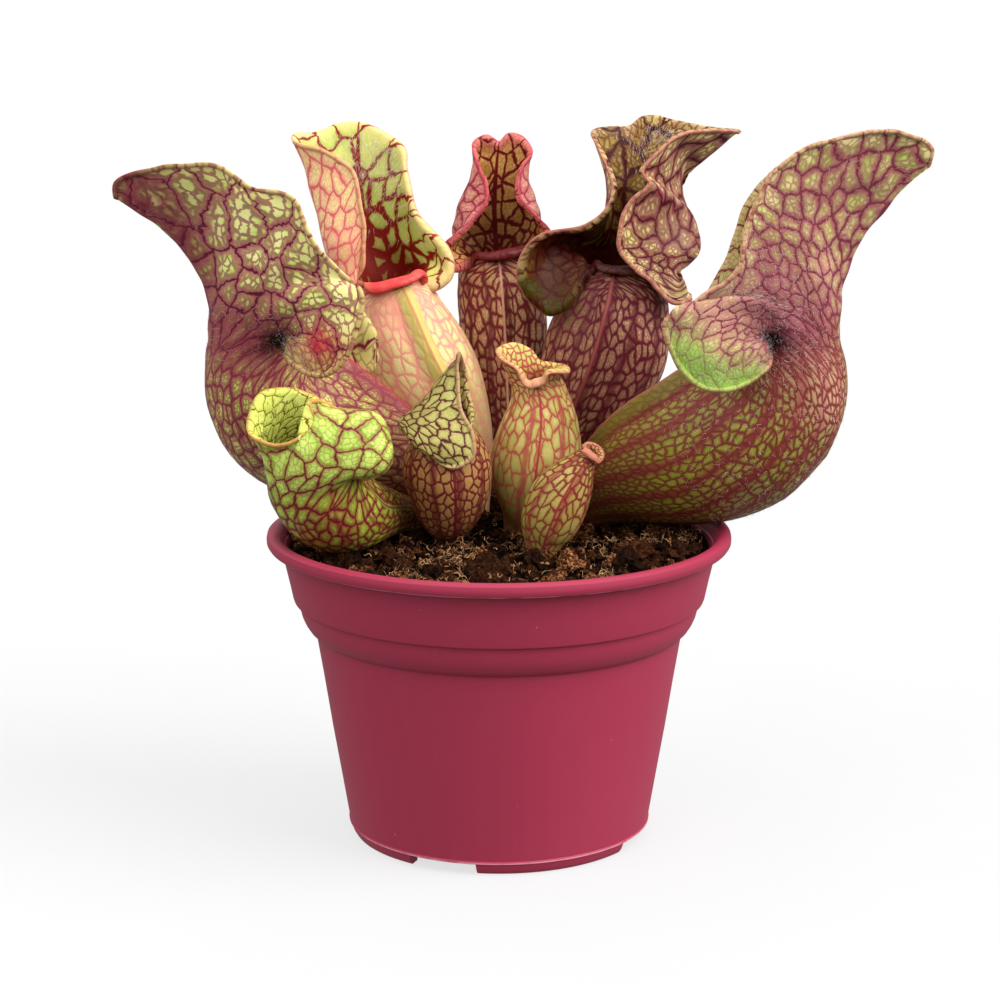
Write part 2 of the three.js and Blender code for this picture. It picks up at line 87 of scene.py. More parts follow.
# How long the soft dents in a leaf are, the smaller dimples in them, and how deep those are beside them.
DENT_LENGTH = 13.0
DIMPLE_LENGTH = 5.5
DIMPLE_SHARE = 0.4

# A ripple's waves: how many, and how much shorter or longer than its length.
RIPPLE_WAVES = 6
RIPPLE_SPREAD = (0.7, 1.6)

# Stretches of a leaf, where 0 is its root, 1 its neck and 2 its edge: the dents deepen over the first,
# the lip's colour comes in over the second, and the net takes the hood's draw over the third.
DENTED = (0.45, 0.9)
LIPPED = (0.97, 1.3)
HOODED = (0.85, 1.2)

# How deep a hair is rooted, and how much it may stand out from the skin.
HAIR_ROOT = 0.1
HAIR_STAND = (0.35, 1.0)

# Threads and hairs have three sides, whose corners stand at these turns.
THREAD_TURNS = [corner * 2 * math.pi / 3 for corner in range(3)]

# Hardly any thread lies along this direction, so its sides can be worked out from it.
ASLANT = np.array([0.31, 0.22, 0.92])

Array = np.ndarray
Colour = tuple[float, float, float]

log = logging.getLogger("potted_pitcher_plant")


def paint(red: int, green: int, blue: int) -> Colour:
    """A colour from its screen values of 0 to 255."""
    levels = [level / 255 for level in (red, green, blue)]
    return tuple(v / 12.92 if v < 0.04045 else ((v + 0.055) / 1.055) ** 2.4 for v in levels)


def unit(vectors: Array) -> Array:
    """The vectors at length one."""
    return vectors / np.maximum(np.linalg.norm(vectors, axis=-1, keepdims=True), 1e-9)


def smooth_step(values: Array, low: float, high: float) -> Array:
    """A soft ramp from 0 at low to 1 at high."""
    t = np.clip((values - low) / (high - low), 0, 1)
    return t * t * (3 - 2 * t)


def spline(points: Array, at: Array, closed: bool = False) -> Array:
    """Points on the smooth curve through a row of points.

    Args:
        points: The points that the curve passes through.
        at: Places along the row, where 0 is the first point and 1 the second.
        closed: Whether the row closes on itself.

    Returns:
        One point for each place.
    """
    if closed:
        padded = np.concatenate([points[-1:], points, points[:2]])
        index = np.floor(at).astype(int)
    else:
        padded = np.concatenate([2 * points[:1] - points[1:2], points, 2 * points[-1:] - points[-2:-1]])
        index = np.clip(np.floor(at).astype(int), 0, len(points) - 2)
    t = (at - index).reshape((-1,) + (1,) * (points.ndim - 1))
    before, start, end, after = (padded[index + step] for step in range(4))
    leave = (end - before) / 2
    arrive = (after - start) / 2
    square = -3 * start + 3 * end - 2 * leave - arrive
    cube = 2 * start - 2 * end + leave + arrive
    return start + t * (leave + t * (square + t * cube))


def seen(x: Array, z: Array, y: Array, plane: float) -> Array:
    """Points seen at (x, z) on the upright plane y = plane, slid along the sight line to depth y."""
    k = (EYE_DISTANCE + y) / (EYE_DISTANCE + plane)
    return np.stack([x * k, y, EYE_HEIGHT + (z - EYE_HEIGHT) * k], axis=-1)


def ripple(points: Array, length: float, seed: int) -> Array:
    """A soft uneven height of about -1 to 1.

    Args:
        points: The places that it is wanted at.
        length: About how long its waves are.
        seed: The number that its draws start from.

    Returns:
        One height for each place.
    """
    rng = np.random.default_rng(seed)
    total = np.zeros(points.shape[:-1])
    for _ in range(RIPPLE_WAVES):
        way = unit(rng.normal(size=3))
        wave = 2 * math.pi / (length * rng.uniform(*RIPPLE_SPREAD))
        total += np.sin(points @ way * wave + rng.uniform(0, 6.28))
    return total / (RIPPLE_WAVES / 2)


def evened(rows: Array, rounds: int) -> Array:
    """Rows evened out with their neighbours, all but the first and the last."""
    for _ in range(rounds):
        rows[1:-1] = (rows[:-2] + 2 * rows[1:-1] + rows[2:]) / 4
    return rows


def summed(steps: Array) -> Array:
    """Running sums down the rows, from a first row of zeros."""
    return np.concatenate([np.zeros((1, steps.shape[1])), np.cumsum(steps, axis=0)])


def sides_of(along: Array) -> tuple[Array, Array]:
    """Two directions square to each given one and to each other."""
    side = unit(np.cross(along, ASLANT))
    return side, np.cross(along, side)


def closed_skin(row_count: int, count: int) -> list:
    """The faces of a closed body that is made of rings.

    Args:
        row_count: How many rings it has.
        count: How many points each ring has.

    Returns:
        Squares between the rings, and a fan at each end, round the two points that come after the rings.
    """
    row, column = np.meshgrid(np.arange(row_count - 1), np.arange(count), indexing="ij")
    after = (column + 1) % count
    low, high = row * count, (row + 1) * count
    squares = np.stack([low + column, low + after, high + after, high + column], axis=-1)
    top, middle = (row_count - 1) * count, row_count * count
    pairs = [(i, (i + 1) % count) for i in range(count)]
    first_fan = [[middle, b, a] for a, b in pairs]
    last_fan = [[top + a, top + b, middle + 1] for a, b in pairs]
    return squares.reshape(-1, 4).tolist() + first_fan + last_fan


def piece_from(
    name: str, points: Array, faces: list, material: bpy.types.Material
) -> bpy.types.Object:
    """A new smooth piece of the plant.

    Args:
        name: The piece's name.
        points: Its points in millimetres from the pot's axis.
        faces: Lists of point numbers, each running round so that it faces out.
        material: Its material.

    Returns:
        The piece, riding on the one body.
    """
    mesh = bpy.data.meshes.new(name)
    places = points * MM + np.array([AXIS_X, AXIS_Y, 0])
    mesh.from_pydata(places.tolist(), [], faces)
    mesh.polygons.foreach_set("use_smooth", [True] * len(mesh.polygons))
    mesh.materials.append(material)
    piece = bpy.data.objects.new(name, mesh)
    bpy.context.scene.collection.objects.link(piece)
    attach(piece, "root")
    log.info("%s: %d faces", name, len(faces))
    return piece


class Holder(Enum):
    """What a piece's stored numbers belong to."""

    POINTS = "POINT"
    CORNERS = "CORNER"


def keep(piece: bpy.types.Object, name: str, values: Array, holder: Holder = Holder.POINTS) -> None:
    """Store three numbers on each point or face corner of a piece, for its material to read."""
    layer = piece.data.attributes.new(name, "FLOAT_VECTOR", holder.value)
    layer.data.foreach_set("vector", values.astype(np.float32).ravel())


def deselect_all() -> None:
    """Leave nothing selected."""
    if bpy.context.object and bpy.context.object.mode != "OBJECT":
        bpy.ops.object.mode_set(mode="OBJECT")
    bpy.ops.object.select_all(action="DESELECT")


def pick(piece: bpy.types.Object) -> None:
    """Select one piece alone.

    Args:
        piece: The piece.
    """
    deselect_all()
    piece.select_set(True)
    bpy.context.view_layer.objects.active = piece


class Value:
    """A socket's output that stands in Python sums, each of which adds its Math node."""

    def __init__(self, recipe: "Recipe", socket: bpy.types.NodeSocket) -> None:
        """Hold an output socket of a recipe."""
        self.recipe = recipe
        self.socket = socket

    def math(self, operation: str, *others: "Value | float", clamp: bool = False) -> "Value":
        """This value through one Math node.

        Args:
            operation: What the node does.
            others: Its further inputs.
            clamp: Whether the outcome is kept from 0 to 1.

        Returns:
            The outcome.
        """
        settings = {"operation": operation, "use_clamp": clamp}
        return self.recipe.node("ShaderNodeMath", settings, dict(enumerate((self, *others))))

    def __add__(self, other: "Value | float") -> "Value":
        """The sum."""
        return self.math("ADD", other)

    __radd__ = __add__

    def __mul__(self, other: "Value | float") -> "Value":
        """The product."""
        return self.math("MULTIPLY", other)

    __rmul__ = __mul__

    def __sub__(self, other: "Value | float") -> "Value":
        """The difference."""
        return self.math("SUBTRACT", other)

    def __rsub__(self, other: float) -> "Value":
        """A number less this value."""
        return self.recipe.node("ShaderNodeMath", {"operation": "SUBTRACT"}, {0: other, 1: self})

    def __truediv__(self, other: "Value | float") -> "Value":
        """The quotient."""
        return self.math("DIVIDE", other)

    def __rtruediv__(self, other: float) -> "Value":
        """A number over this value."""
        return self.recipe.node("ShaderNodeMath", {"operation": "DIVIDE"}, {0: other, 1: self})

    def clamped(self) -> "Value":
        """The value kept from 0 to 1."""
        return self.math("ADD", 0.0, clamp=True)

    def ramp(self, low: "Value | float", high: "Value | float") -> "Value":
        """A soft ramp from 0 where the value is low to 1 where it is high."""
        settings = {"interpolation_type": "SMOOTHSTEP"}
        return self.recipe.node("ShaderNodeMapRange", settings, {0: self, 1: low, 2: high, 3: 0.0, 4: 1.0})


class Feature(Enum):
    """What a cell texture measures."""

    EDGE = "DISTANCE_TO_EDGE"
    CENTRE = "F1"


class Recipe:
    """A material under construction."""

    def __init__(self, name: str, **surface: float | tuple) -> None:
        """Start a material.

        Args:
            name: The material's name.
            surface: Values for the shader's own sockets, with _ for a space in their names.
        """
        self.material = bpy.data.materials.new(name)
        self.material.use_nodes = True
        self.tree = self.material.node_tree
        self.shader = self.tree.nodes["Principled BSDF"]
        for socket, value in surface.items():
            self.shader.inputs[socket.replace("_", " ")].default_value = value

    def node(self, kind: str, settings: dict, inputs: dict, output: int | str = 0) -> Value:
        """Add a node.

        Args:
            kind: The node's type.
            settings: Its settings, which are set first.
            inputs: Values or links of its sockets by name or number.
            output: Which of its outputs is wanted.

        Returns:
            That output.
        """
        node = self.tree.nodes.new(kind)
        for key, value in settings.items():
            setattr(node, key, value)
        for key, value in inputs.items():
            if isinstance(value, Value):
                self.tree.links.new(value.socket, node.inputs[key])
            else:
                socket = node.inputs[key]
                wants_alpha = socket.type == "RGBA" and len(value) == 3
                socket.default_value = (*value, 1.0) if wants_alpha else value
        return Value(self, node.outputs[output])

    def stored(self, name: str) -> Value:
        """The three numbers kept on the points under a name."""
        return self.node("ShaderNodeAttribute", {"attribute_name": name}, {}, "Vector")

    def parts(self, vector: Value) -> tuple[Value, Value, Value]:
        """The three numbers of a vector.

        Args:
            vector: The vector.

        Returns:
            Its numbers one by one.
        """
        first = self.node("ShaderNodeSeparateXYZ", {}, {0: vector})
        outputs = first.socket.node.outputs
        return first, Value(self, outputs[1]), Value(self, outputs[2])

    def joined(self, first: Value, second: Value) -> Value:
        """Two numbers as a place on a flat sheet."""
        return self.node("ShaderNodeCombineXYZ", {}, {0: first, 1: second})

    def place(self) -> Value:
        """The place on the object, in metres."""
        return self.node("ShaderNodeTexCoord", {}, {}, "Object")

    def blend(self, low: "Value | Colour", high: "Value | Colour", share: "Value | float") -> Value:
        """A colour between two."""
        return self.node("ShaderNodeMix", {"data_type": "RGBA"}, {0: share, 6: low, 7: high}, 2)

    def noise(self, at: Value, scale: float, detail: float = 2.0, output: int = 0) -> Value:
        """Cloudy noise at a place."""
        return self.node("ShaderNodeTexNoise", {}, {"Vector": at, "Scale": scale, "Detail": detail}, output)

    def stretched(self, at: Value, scale: tuple[float, float, float]) -> Value:
        """A place with its three numbers multiplied."""
        return self.node("ShaderNodeVectorMath", {"operation": "MULTIPLY"}, {0: at, 1: scale})

    def warped(self, at: Value, scale: float, reach: float) -> Value:
        """A place pushed about by cloudy noise.

        Args:
            at: The place.
            scale: The noise's scale.
            reach: How far it pushes.

        Returns:
            The new place.
        """
        push = self.noise(at, scale, 2.0, 1)
        inputs = {0: push, 1: (reach,) * 3, 2: at}
        return self.node("ShaderNodeVectorMath", {"operation": "MULTIPLY_ADD"}, inputs)

    def cells(
        self, at: Value, size: float, feature: Feature, output: str = "Distance", is_flat: bool = True
    ) -> Value:
        """A cell texture.

        Args:
            at: The place.
            size: About how wide a cell is, in the place's own unit.
            feature: What the texture measures.
            output: Which of its outputs is wanted.
            is_flat: Whether the place lies on a flat sheet.

        Returns:
            That output, a distance in the place's own unit.
        """
        settings = {"voronoi_dimensions": "2D" if is_flat else "3D", "feature": feature.value}
        inputs = {"Vector": at, "Scale": 1 / size, "Randomness": CELL_UNEVENNESS}
        value = self.node("ShaderNodeTexVoronoi", settings, inputs, output)
        return value * size if output == "Distance" else value

    def bump(self, height: Value, depth: float, strength: float = 1.0) -> None:
        """Let a height in the range 0 to 1 stand out by a depth in metres."""
        inputs = {"Height": height, "Distance": depth, "Strength": strength}
        self.set("Normal", self.node("ShaderNodeBump", {}, inputs))

    def set(self, socket: str, value: Value) -> None:
        """Feed a socket of the shader."""
        self.tree.links.new(value.socket, self.shader.inputs[socket])


@dataclass(frozen=True)
class Fineness:
    """How many columns stand for each measured one, and how many rows each stretch of the leaf has."""

    columns: int
    tube: int
    hood: int
    curl: int


class Growth(Enum):
    """How grown a pitcher is, which sets how finely it is made."""

    GROWN = Fineness(7, 42, 40, 9)
    YOUNG = Fineness(7, 34, 26, 8)


@dataclass(frozen=True)
class Plan:
    """A pitcher's measured form, with the same values as the solids.

    Root: (x, y, z, radius) as built. Stations: (x, z, y, half width, half depth), x and z as seen.
    Edge: (x, z, y, flare, way point) as seen, round the hood from one end of the lip to the other.
    """

    plane: float
    front: float
    lip: float
    root: tuple
    stations: tuple
    tip: int
    edge: tuple
    keel: float = 0.0
    bow: float = 0.5
    roll: float = 1.4
    wall: float = 1.1
    floor_row: int = 3
    lift: float = 0.45


PLANS = {
    "pitcher_left": Plan(
        plane=0, front=14, lip=62, keel=4, bow=0.58,
        root=((-9, 23, 70, 3.2),),
        stations=(
            (-12, 83, 22.5, 5.4, 5.6), (-20, 93.5, 19, 8.6, 9.5), (-33, 100, 15, 12.5, 14),
            (-47, 105.5, 10, 16, 17.6), (-57, 112.5, 5, 16.5, 17.5), (-60.8, 121.5, 2, 14.5, 14.2),
            (-61, 131, 0, 12.4, 12.8),
        ),
        tip=11,
        edge=(
            (-49, 127, 13.5), (-40, 121.5, 15.5, 0.2), (-32.5, 122, 16, 0.25), (-31.5, 131, 17, 0.2),
            (-38, 142, 18), (-46, 153, 18.5), (-56, 162.5, 18), (-66, 170, 16, -0.03),
            (-78, 173, 11, -0.06), (-89.5, 172.2, 4, -0.08), (-95.7, 170.3, -0.5, -0.08),
            (-96.3, 166.8, -3, -0.08), (-95.8, 170.4, -5.5, -0.08), (-90, 172.8, -9, -0.08),
            (-80, 174.7, -15, -0.06), (-70.5, 174.3, -19, -0.03), (-62, 169.3, -21.5),
            (-52, 166.2, -23.5), (-47.3, 156, -25.5), (-40.5, 148, -27),
            (-35.3, 142.5, -28, 0.1, (-43, 146, -31)), (-36.5, 133, -28, 0.1, (-42, 141, -32)),
            (-40, 124, -26.5, 0.1, (-44, 136, -31)), (-46.5, 121.2, -23, 0.1, (-47, 132, -29)),
            (-54, 126, -16.5, 0.05, (-54, 132, -20)),
        ),
    ),
    "pitcher_right": Plan(
        plane=-2, front=166, lip=62, keel=4.5, bow=0.55,
        root=((10, 22.5, 70, 3.2),),
        stations=(
            (15.5, 83.5, 21.5, 5.4, 5.8), (27, 92.2, 17, 9.4, 10), (41.7, 98.3, 10, 15.2, 17.2),
            (58, 103, 3, 18, 19.8), (69, 110, -1, 17.2, 17.8), (73.5, 120, -3, 14.8, 15.4),
            (73.8, 131, -4, 12.2, 12.4),
        ),
        tip=13,
        edge=(
            (68.5, 124.5, -19, 0.05, (68.5, 131, -22)), (60, 118.2, -24, 0.1, (61, 130, -30)),
            (51.5, 118.5, -28, 0.1, (54, 132, -34)), (44.6, 126.5, -31, 0.1, (50, 138, -35)),
            (42.8, 135.5, -32, 0.1, (51, 143, -34)), (50, 140.6, -31, 0.05), (59.5, 148, -30),
            (62.2, 160, -29), (68, 172.5, -27), (80.5, 180.7, -23, -0.03), (94.5, 183.1, -16, -0.07),
            (104, 181.8, -11, -0.08), (108.2, 179, -8.6, -0.08), (107.5, 175, -7, -0.06),
            (108, 179, -5.4, -0.08), (100, 181.7, 1, -0.07), (88, 180.5, 8, -0.05),
            (76, 176.5, 12.5, -0.03), (65.5, 170.5, 15), (60.5, 160, 17), (56.5, 149, 18),
            (51.5, 138, 18), (53, 128, 16.5), (63, 125, 12),
        ),
    ),
    "pitcher_back_left": Plan(
        plane=38, front=-65, lip=64, keel=2.5, roll=1.6,
        root=((-7, 34, 70, 3.2),),
        stations=(
            (-8, 84, 34, 5.4, 5.4), (-11, 97, 34.5, 9.4, 9.4), (-18.3, 110, 35.5, 14.6, 13.2),
            (-24.5, 122, 37, 14.6, 13), (-28, 132, 38, 12, 11.5), (-29.7, 138.6, 38, 9.8, 9.3),
        ),
        tip=9,
        edge=(
            (-18.5, 138, 35, 0.2), (-13.2, 141, 37, 0.3), (-14, 147.5, 39, 0.2), (-18.5, 152.8, 41),
            (-22.5, 158, 43), (-24, 163.5, 45), (-25, 169.5, 48), (-25.8, 175, 51), (-29.5, 178.4, 54),
            (-37, 181.8, 57), (-42, 181.6, 57), (-47.5, 179.8, 54.5), (-54, 178.7, 49, 0.08),
            (-51.5, 175.5, 44, 0.15), (-44.6, 173.7, 39, 0.22), (-39, 169, 35, 0.28),
            (-36.6, 161, 32, 0.34), (-35.8, 153, 31, 0.4), (-36.8, 144.5, 31, 0.45),
            (-38.5, 139, 32, 0.3),
        ),
    ),
    "pitcher_back": Plan(
        plane=42, front=-88, lip=66, keel=2,
        root=((3, 46, 70, 3.2),),
        stations=(
            (3, 85, 47, 5, 5), (2.4, 98, 50, 7.8, 7.5), (1.8, 112, 53.5, 10.4, 10),
            (1.2, 127, 56, 11.6, 10.6), (0.4, 138.5, 57.5, 11.2, 10), (-0.3, 146, 57.5, 10.3, 8.5),
        ),
        tip=10,
        edge=(
            (8, 144.8, 49.5), (12.8, 147.5, 49.5, 0.1), (12.8, 152.5, 50, 0.1), (8.8, 156.5, 50, 0.25),
            (5.2, 161, 51, 0.35), (4.6, 165.5, 52.5, 0.35), (5.5, 170, 56, 0.3), (8, 173.5, 60, 0.1),
            (6, 176.8, 62), (2.7, 177.8, 62.5), (0, 175.8, 62.5), (-3.2, 177.7, 62.5), (-6, 175.8, 62),
            (-5.8, 172.5, 60, 0.1), (-4.3, 169, 56, 0.3), (-2.9, 164.5, 53, 0.35),
            (-3.2, 159.5, 51, 0.35), (-7.8, 153.5, 50, 0.25), (-13.5, 149, 49.5, 0.1),
            (-14.3, 144, 49, 0.1), (-10.8, 142.5, 48.5),
        ),
    ),
    "pitcher_back_right": Plan(
        plane=35, front=-105, lip=64, keel=3, bow=0.6,
        root=((13, 36, 70, 3.2),),
        stations=(
            (13.5, 84, 36.5, 5.4, 5.4), (18, 97, 38.5, 9.6, 9), (24.5, 110.5, 39.5, 14.6, 12.4),
            (29.5, 124, 40, 16.4, 13), (31.8, 135, 40, 13, 11), (32.6, 143, 40, 10.5, 9),
        ),
        tip=13,
        edge=(
            (43.5, 139.5, 34, 0.3), (50.5, 136, 32.5, 0.55), (46, 134.5, 29.5, 0.8),
            (39.5, 140.7, 28, 0.95), (32.5, 147.8, 27, 0.95), (31.8, 153.5, 27, 0.9),
            (34, 160.6, 28, 0.76), (39.5, 165.8, 29.5, 0.64), (37.5, 169.5, 30.5, 0.58),
            (42, 175, 33, 0.48), (49, 179.8, 38, 0.34), (63, 180.3, 46, 0.1), (51, 181.4, 56),
            (39.5, 184, 59), (34, 181, 57), (25.5, 180, 51), (27.5, 174.5, 45), (30.7, 166, 39),
            (29.3, 159.5, 35), (23, 154.2, 32), (12, 152, 30, 0.1), (6.6, 146.5, 29, 0.2),
            (6.5, 139, 29, 0.25), (13, 131.5, 30, 0.25), (19.5, 135.5, 31.5, 0.1),
        ),
    ),
    "young_front_left": Plan(
        plane=-18, front=20, lip=50, roll=0.9, wall=0.9, floor_row=4,
        root=((-13.5, 14, 70, 3), (-17.5, 10, 79, 3.8)),
        stations=(
            (-24.5, 88.2, 3, 4.5, 4.5), (-31.5, 89.2, -6, 7.4, 7.4), (-39.5, 89, -16, 11.2, 10.9),
            (-45.7, 93, -22, 12.2, 11.4), (-46.8, 99.5, -25, 11, 11),
        ),
        tip=6,
        edge=(
            (-36, 99.5, -16), (-32.5, 106, -16), (-38, 113, -18), (-46, 118.3, -21), (-53, 120.2, -24),
            (-59.5, 118.7, -26.5), (-62.2, 111.5, -30), (-60, 107.8, -33), (-54.5, 106.3, -35),
            (-49.5, 108.3, -35.5), (-47, 112.2, -35), (-47.5, 117.5, -33),
            (-40, 114.5, -24, 0.1, (-39, 119, -36)), (-31, 112, -24, 0.2, (-27, 119, -36)),
            (-28.5, 106, -24, 0.2, (-22, 110, -38)), (-29, 101, -24, 0.2, (-22.5, 102, -38)),
            (-32, 98.5, -24, 0.15, (-28, 98, -36)), (-36, 98.5, -24, 0.05, (-34, 97, -31)),
        ),
    ),
    "young_front": Plan(
        plane=2, front=-80, lip=50, roll=0.9, wall=0.9,
        root=((-11.5, 4, 70, 3),),
        stations=(
            (-12.6, 80, 1, 4.4, 4.4), (-13, 84, -3.5, 7.8, 7.4), (-12.9, 90, -7, 10, 9.4),
            (-13.3, 97, -9, 11.2, 10.4), (-13.9, 102, -9.5, 9.4, 8.6), (-14.6, 105.5, -9.5, 7.2, 6.6),
        ),
        tip=4,
        edge=(
            (-9, 105, -13), (-6.6, 109, -8), (-8, 116, -5), (-9, 122, -5), (-9.8, 125.6, -7),
            (-10.4, 121, -10, 0.2, (-17, 118, -11)), (-10.4, 114.8, -13, 0.4, (-22, 113, -15)),
            (-9.2, 109.5, -16, 0.5, (-24, 110, -19)), (-7, 104.5, -18, 0.5, (-22, 107, -23)),
            (-7, 99.5, -19, 0.45, (-20, 104, -25)), (-11.5, 96.9, -20, 0.4, (-21, 101, -24)),
            (-15.8, 99, -19.5, 0.35, (-23, 102, -21)), (-18.5, 103, -16, 0.2, (-23, 104, -17)),
        ),
    ),
    "young_back": Plan(
        plane=8, front=-90, lip=40, roll=0.9, wall=0.9,
        root=((4, 13.5, 70, 3),),
        stations=(
            (6.2, 81, 10.5, 4.4, 4.4), (7.8, 85, 7.5, 7.7, 7.2), (8.8, 90, 5.2, 10.2, 9.4),
            (9.7, 97.5, 4.2, 11.8, 10.5), (10.9, 107, 4, 9.6, 8.8), (10.7, 113.5, 4, 7.2, 6.6),
            (9.6, 118, 3.5, 6, 5.4),
        ),
        tip=5,
        edge=(
            (12.5, 120.5, -4.2, 0.1), (17.4, 120.9, -1, 0.3), (17, 122.1, 4, 0.2), (13.5, 122.6, 8),
            (10.2, 123.4, 10), (8.3, 126.2, 10.5), (4.2, 128, 10), (0.3, 126.7, 6.5),
            (1.2, 124, 0.5, 0.1), (5, 121.6, -3.6),
        ),
    ),
    "young_bud": Plan(
        plane=8, front=-90, lip=50, roll=0.8, wall=0.9, floor_row=5,
        root=((11, -12, 70, 2.8),),
        stations=(
            (11.5, 73.6, -12, 3.6, 3.4), (11.9, 77, -12.3, 5.8, 5.3), (13.4, 81, -12.6, 7.4, 6.6),
            (15.2, 86, -13, 7.5, 6.7), (17.6, 90, -13.4, 6.7, 6), (20, 94, -13.8, 4.8, 4.4),
            (22, 96.6, -14, 3, 2.9), (23.1, 98, -14, 2.3, 2.3),
        ),
        tip=3,
        edge=(
            (25.2, 96.9, -15.4), (26.3, 98.2, -14), (25.6, 100, -12.6), (24, 100.9, -12.2),
            (22.6, 100.5, -13), (22.2, 99, -14.6), (22.8, 97.6, -15.8),
        ),
    ),
}


@dataclass(frozen=True)
class Spot:
    """A round soft patch, in millimetres from the pot's axis."""

    centre: tuple[float, float, float]
    radius: float
    strength: float = 1.0

    def weight(self, points: Array) -> Array:
        """How strongly the patch covers points."""
        away = np.linalg.norm(points - np.array(self.centre), axis=-1)
        return self.strength * np.exp(-((away / self.radius) ** 2))


def covered_by(spots: tuple[Spot, ...], points: Array) -> Array:
    """How strongly some patches together cover points."""
    return sum((spot.weight(points) for spot in spots), np.zeros(points.shape[:-1]))


@dataclass(frozen=True)
class Ground:
    """One side of a leaf: its colours, and its net of veins in millimetres.

    The colours are two between the veins, one beside them, and the veins' own. A cell of the net has the
    given size, a vein the given half width, and the colour beside it reaches the halo's width further.
    """

    cell: Colour
    second: Colour
    beside: Colour
    vein: Colour
    size: float
    width: float
    halo: float
    small: float
    fade: float = 0.3


@dataclass(frozen=True)
class LeafFinish:
    """How a pitcher is coloured and veined. Widths are half widths in millimetres."""

    slot: str
    hood: Ground
    tube: Ground
    inner: Ground
    base: Colour
    flush: Colour
    margin: Colour
    edge: Colour
    lip: Colour
    keel: Colour
    ridge: Colour
    lime: Colour = paint(146, 200, 74)
    glow: Colour = paint(206, 52, 84)
    stripe: Colour = paint(128, 44, 46)
    dry: Colour = paint(122, 88, 62)
    # Colour of the painted shade in the pit, the dark hollow at the neck.
    pit_shade: Colour = paint(34, 10, 16)
    draw: float = 0.55
    split: float = 3.4
    small_width: float = 0.03
    softness: float = 0.12
    stripes: int = 14
    stripe_width: float = 0.6
    stripe_share: float = 0.7
    midrib: float = 0.0
    flushed: float = 0.1
    # How strongly painted shade darkens the inside down the throat.
    throat_shade: float = 0.5
    gloss: float = 0.34
    margin_width: float = 2.5
    margin_share: float = 0.5
    edge_share: float = 0.7
    keel_width: float = 1.2
    ridge_width: float = 0.35
    base_share: float = 0.6
    puff: float = 0.7
    speckle: float = 0.0
    hiding: float = 0.8

    def cell_size(self, high: Array) -> Array:
        """The size of the net's cells on the outside at heights up the leaf."""
        return self.tube.size + (self.hood.size - self.tube.size) * smooth_step(high, 0.85, 1.25)

    def dress(self) -> bpy.types.Material:
        """The material of the whole pitcher.

        Returns:
            A material that reads the numbers kept on the pitcher's points and corners.
        """
        r = Recipe(self.slot, Specular_IOR_Level=0.14, Subsurface_Weight=0.03, Subsurface_Scale=0.0015)
        r.shader.inputs["Subsurface Radius"].default_value = (1.0, 0.45, 0.2)
        net = r.stored("net")
        turn, girth, _ = r.parts(r.stored("turn"))
        rise, inside, from_edge = r.parts(r.stored("zone"))
        flush, lime, lip = r.parts(r.stored("stain"))
        pit_shade, dry, glow = r.parts(r.stored("shade"))
        _, climbed, cell = r.parts(net)
        hood = rise.ramp(0.9, 1.15)
        clouds = r.noise(r.place(), CLOUDS, 3.0)
        mottle = r.noise(r.place(), MOTTLE, 3.0)
        grain = r.noise(r.place(), GRAIN, 2.0)

        def side(name: str) -> Value:
            """A number that differs between the tube, the hood and the inside.

            Args:
                name: Its name in the three grounds.

            Returns:
                The number.
            """
            low, high, within = (getattr(part, name) for part in (self.tube, self.hood, self.inner))
            outer = low + (high - low) * hood
            return outer + (within - outer) * inside

        def coat(name: str) -> Value:
            """A colour that differs between the tube, the hood and the inside."""
            low, high, within = (getattr(part, name) for part in (self.tube, self.hood, self.inner))
            return r.blend(r.blend(low, high, hood), within, inside)

        wavy = r.warped(r.warped(net, 0.9, 0.6), 3.5, 0.2)
        net_edge = r.cells(wavy, 1.0, Feature.EDGE) * cell
        tone = r.parts(r.cells(wavy, 1.0, Feature.CENTRE, "Color"))[0]
        small_edge = r.cells(r.warped(net, 3.0, 0.25), 1 / self.split, Feature.EDGE) * cell
        lines = ((turn * self.stripes + clouds * 0.6).math("FRACT") - 0.5).math("ABSOLUTE")
        stripe_edge = lines * girth / self.stripes + (mottle - 0.5) * 0.9 + rise.ramp(0.8, 1.4) * 3.0
        stripe = (1.0 - stripe_edge.ramp(self.stripe_width * 0.3, self.stripe_width * 2.2)) * (1.0 - inside)
        nearest = net_edge
        if self.midrib:
            middle = turn.math("ABSOLUTE") * girth - self.midrib + rise.ramp(1.5, 2.0) * self.midrib
            nearest = nearest.math("SMOOTH_MIN", middle, 0.3)

        on_hood = rise.ramp(1.1, 1.4)
        rough_edge = from_edge + (mottle - 0.5) * 2.0
        rim_zone = (1.0 - rough_edge.ramp(self.margin_width * 0.3, self.margin_width * 1.7)) * on_hood
        width = side("width") * (clouds * 1.1 + mottle * 0.9) * (1.0 - side("fade") * rise.ramp(1.2, 1.95))
        width = width * (1.0 - rim_zone * 0.45)
        halo = side("halo") * (1.0 - rim_zone * 0.75) * (1.0 + flush * 0.8)
        vein = 1.0 - (nearest + (grain - 0.5) * 0.12).ramp(width * 0.6, width * 1.25 + self.softness)
        rough = nearest + (mottle - 0.5) * halo * 1.3 + (grain - 0.5) * 0.3
        beside = 1.0 - rough.ramp(width + halo * 0.1, width + halo * 1.15)
        near = 1.0 - nearest.ramp(0.0, width + halo * 2.0)
        thin = cell * self.small_width * (0.7 + near * 1.8)
        small = 1.0 - (small_edge + (grain - 0.5) * 0.15).ramp(thin * 0.5, thin * 1.4 + 0.05)
        low = (1.0 - rise.ramp(0.25, 0.75)) * self.base_share
        covered = (beside * 0.95).math("MAXIMUM", small * side("small")) * (1.0 - low * 0.6)

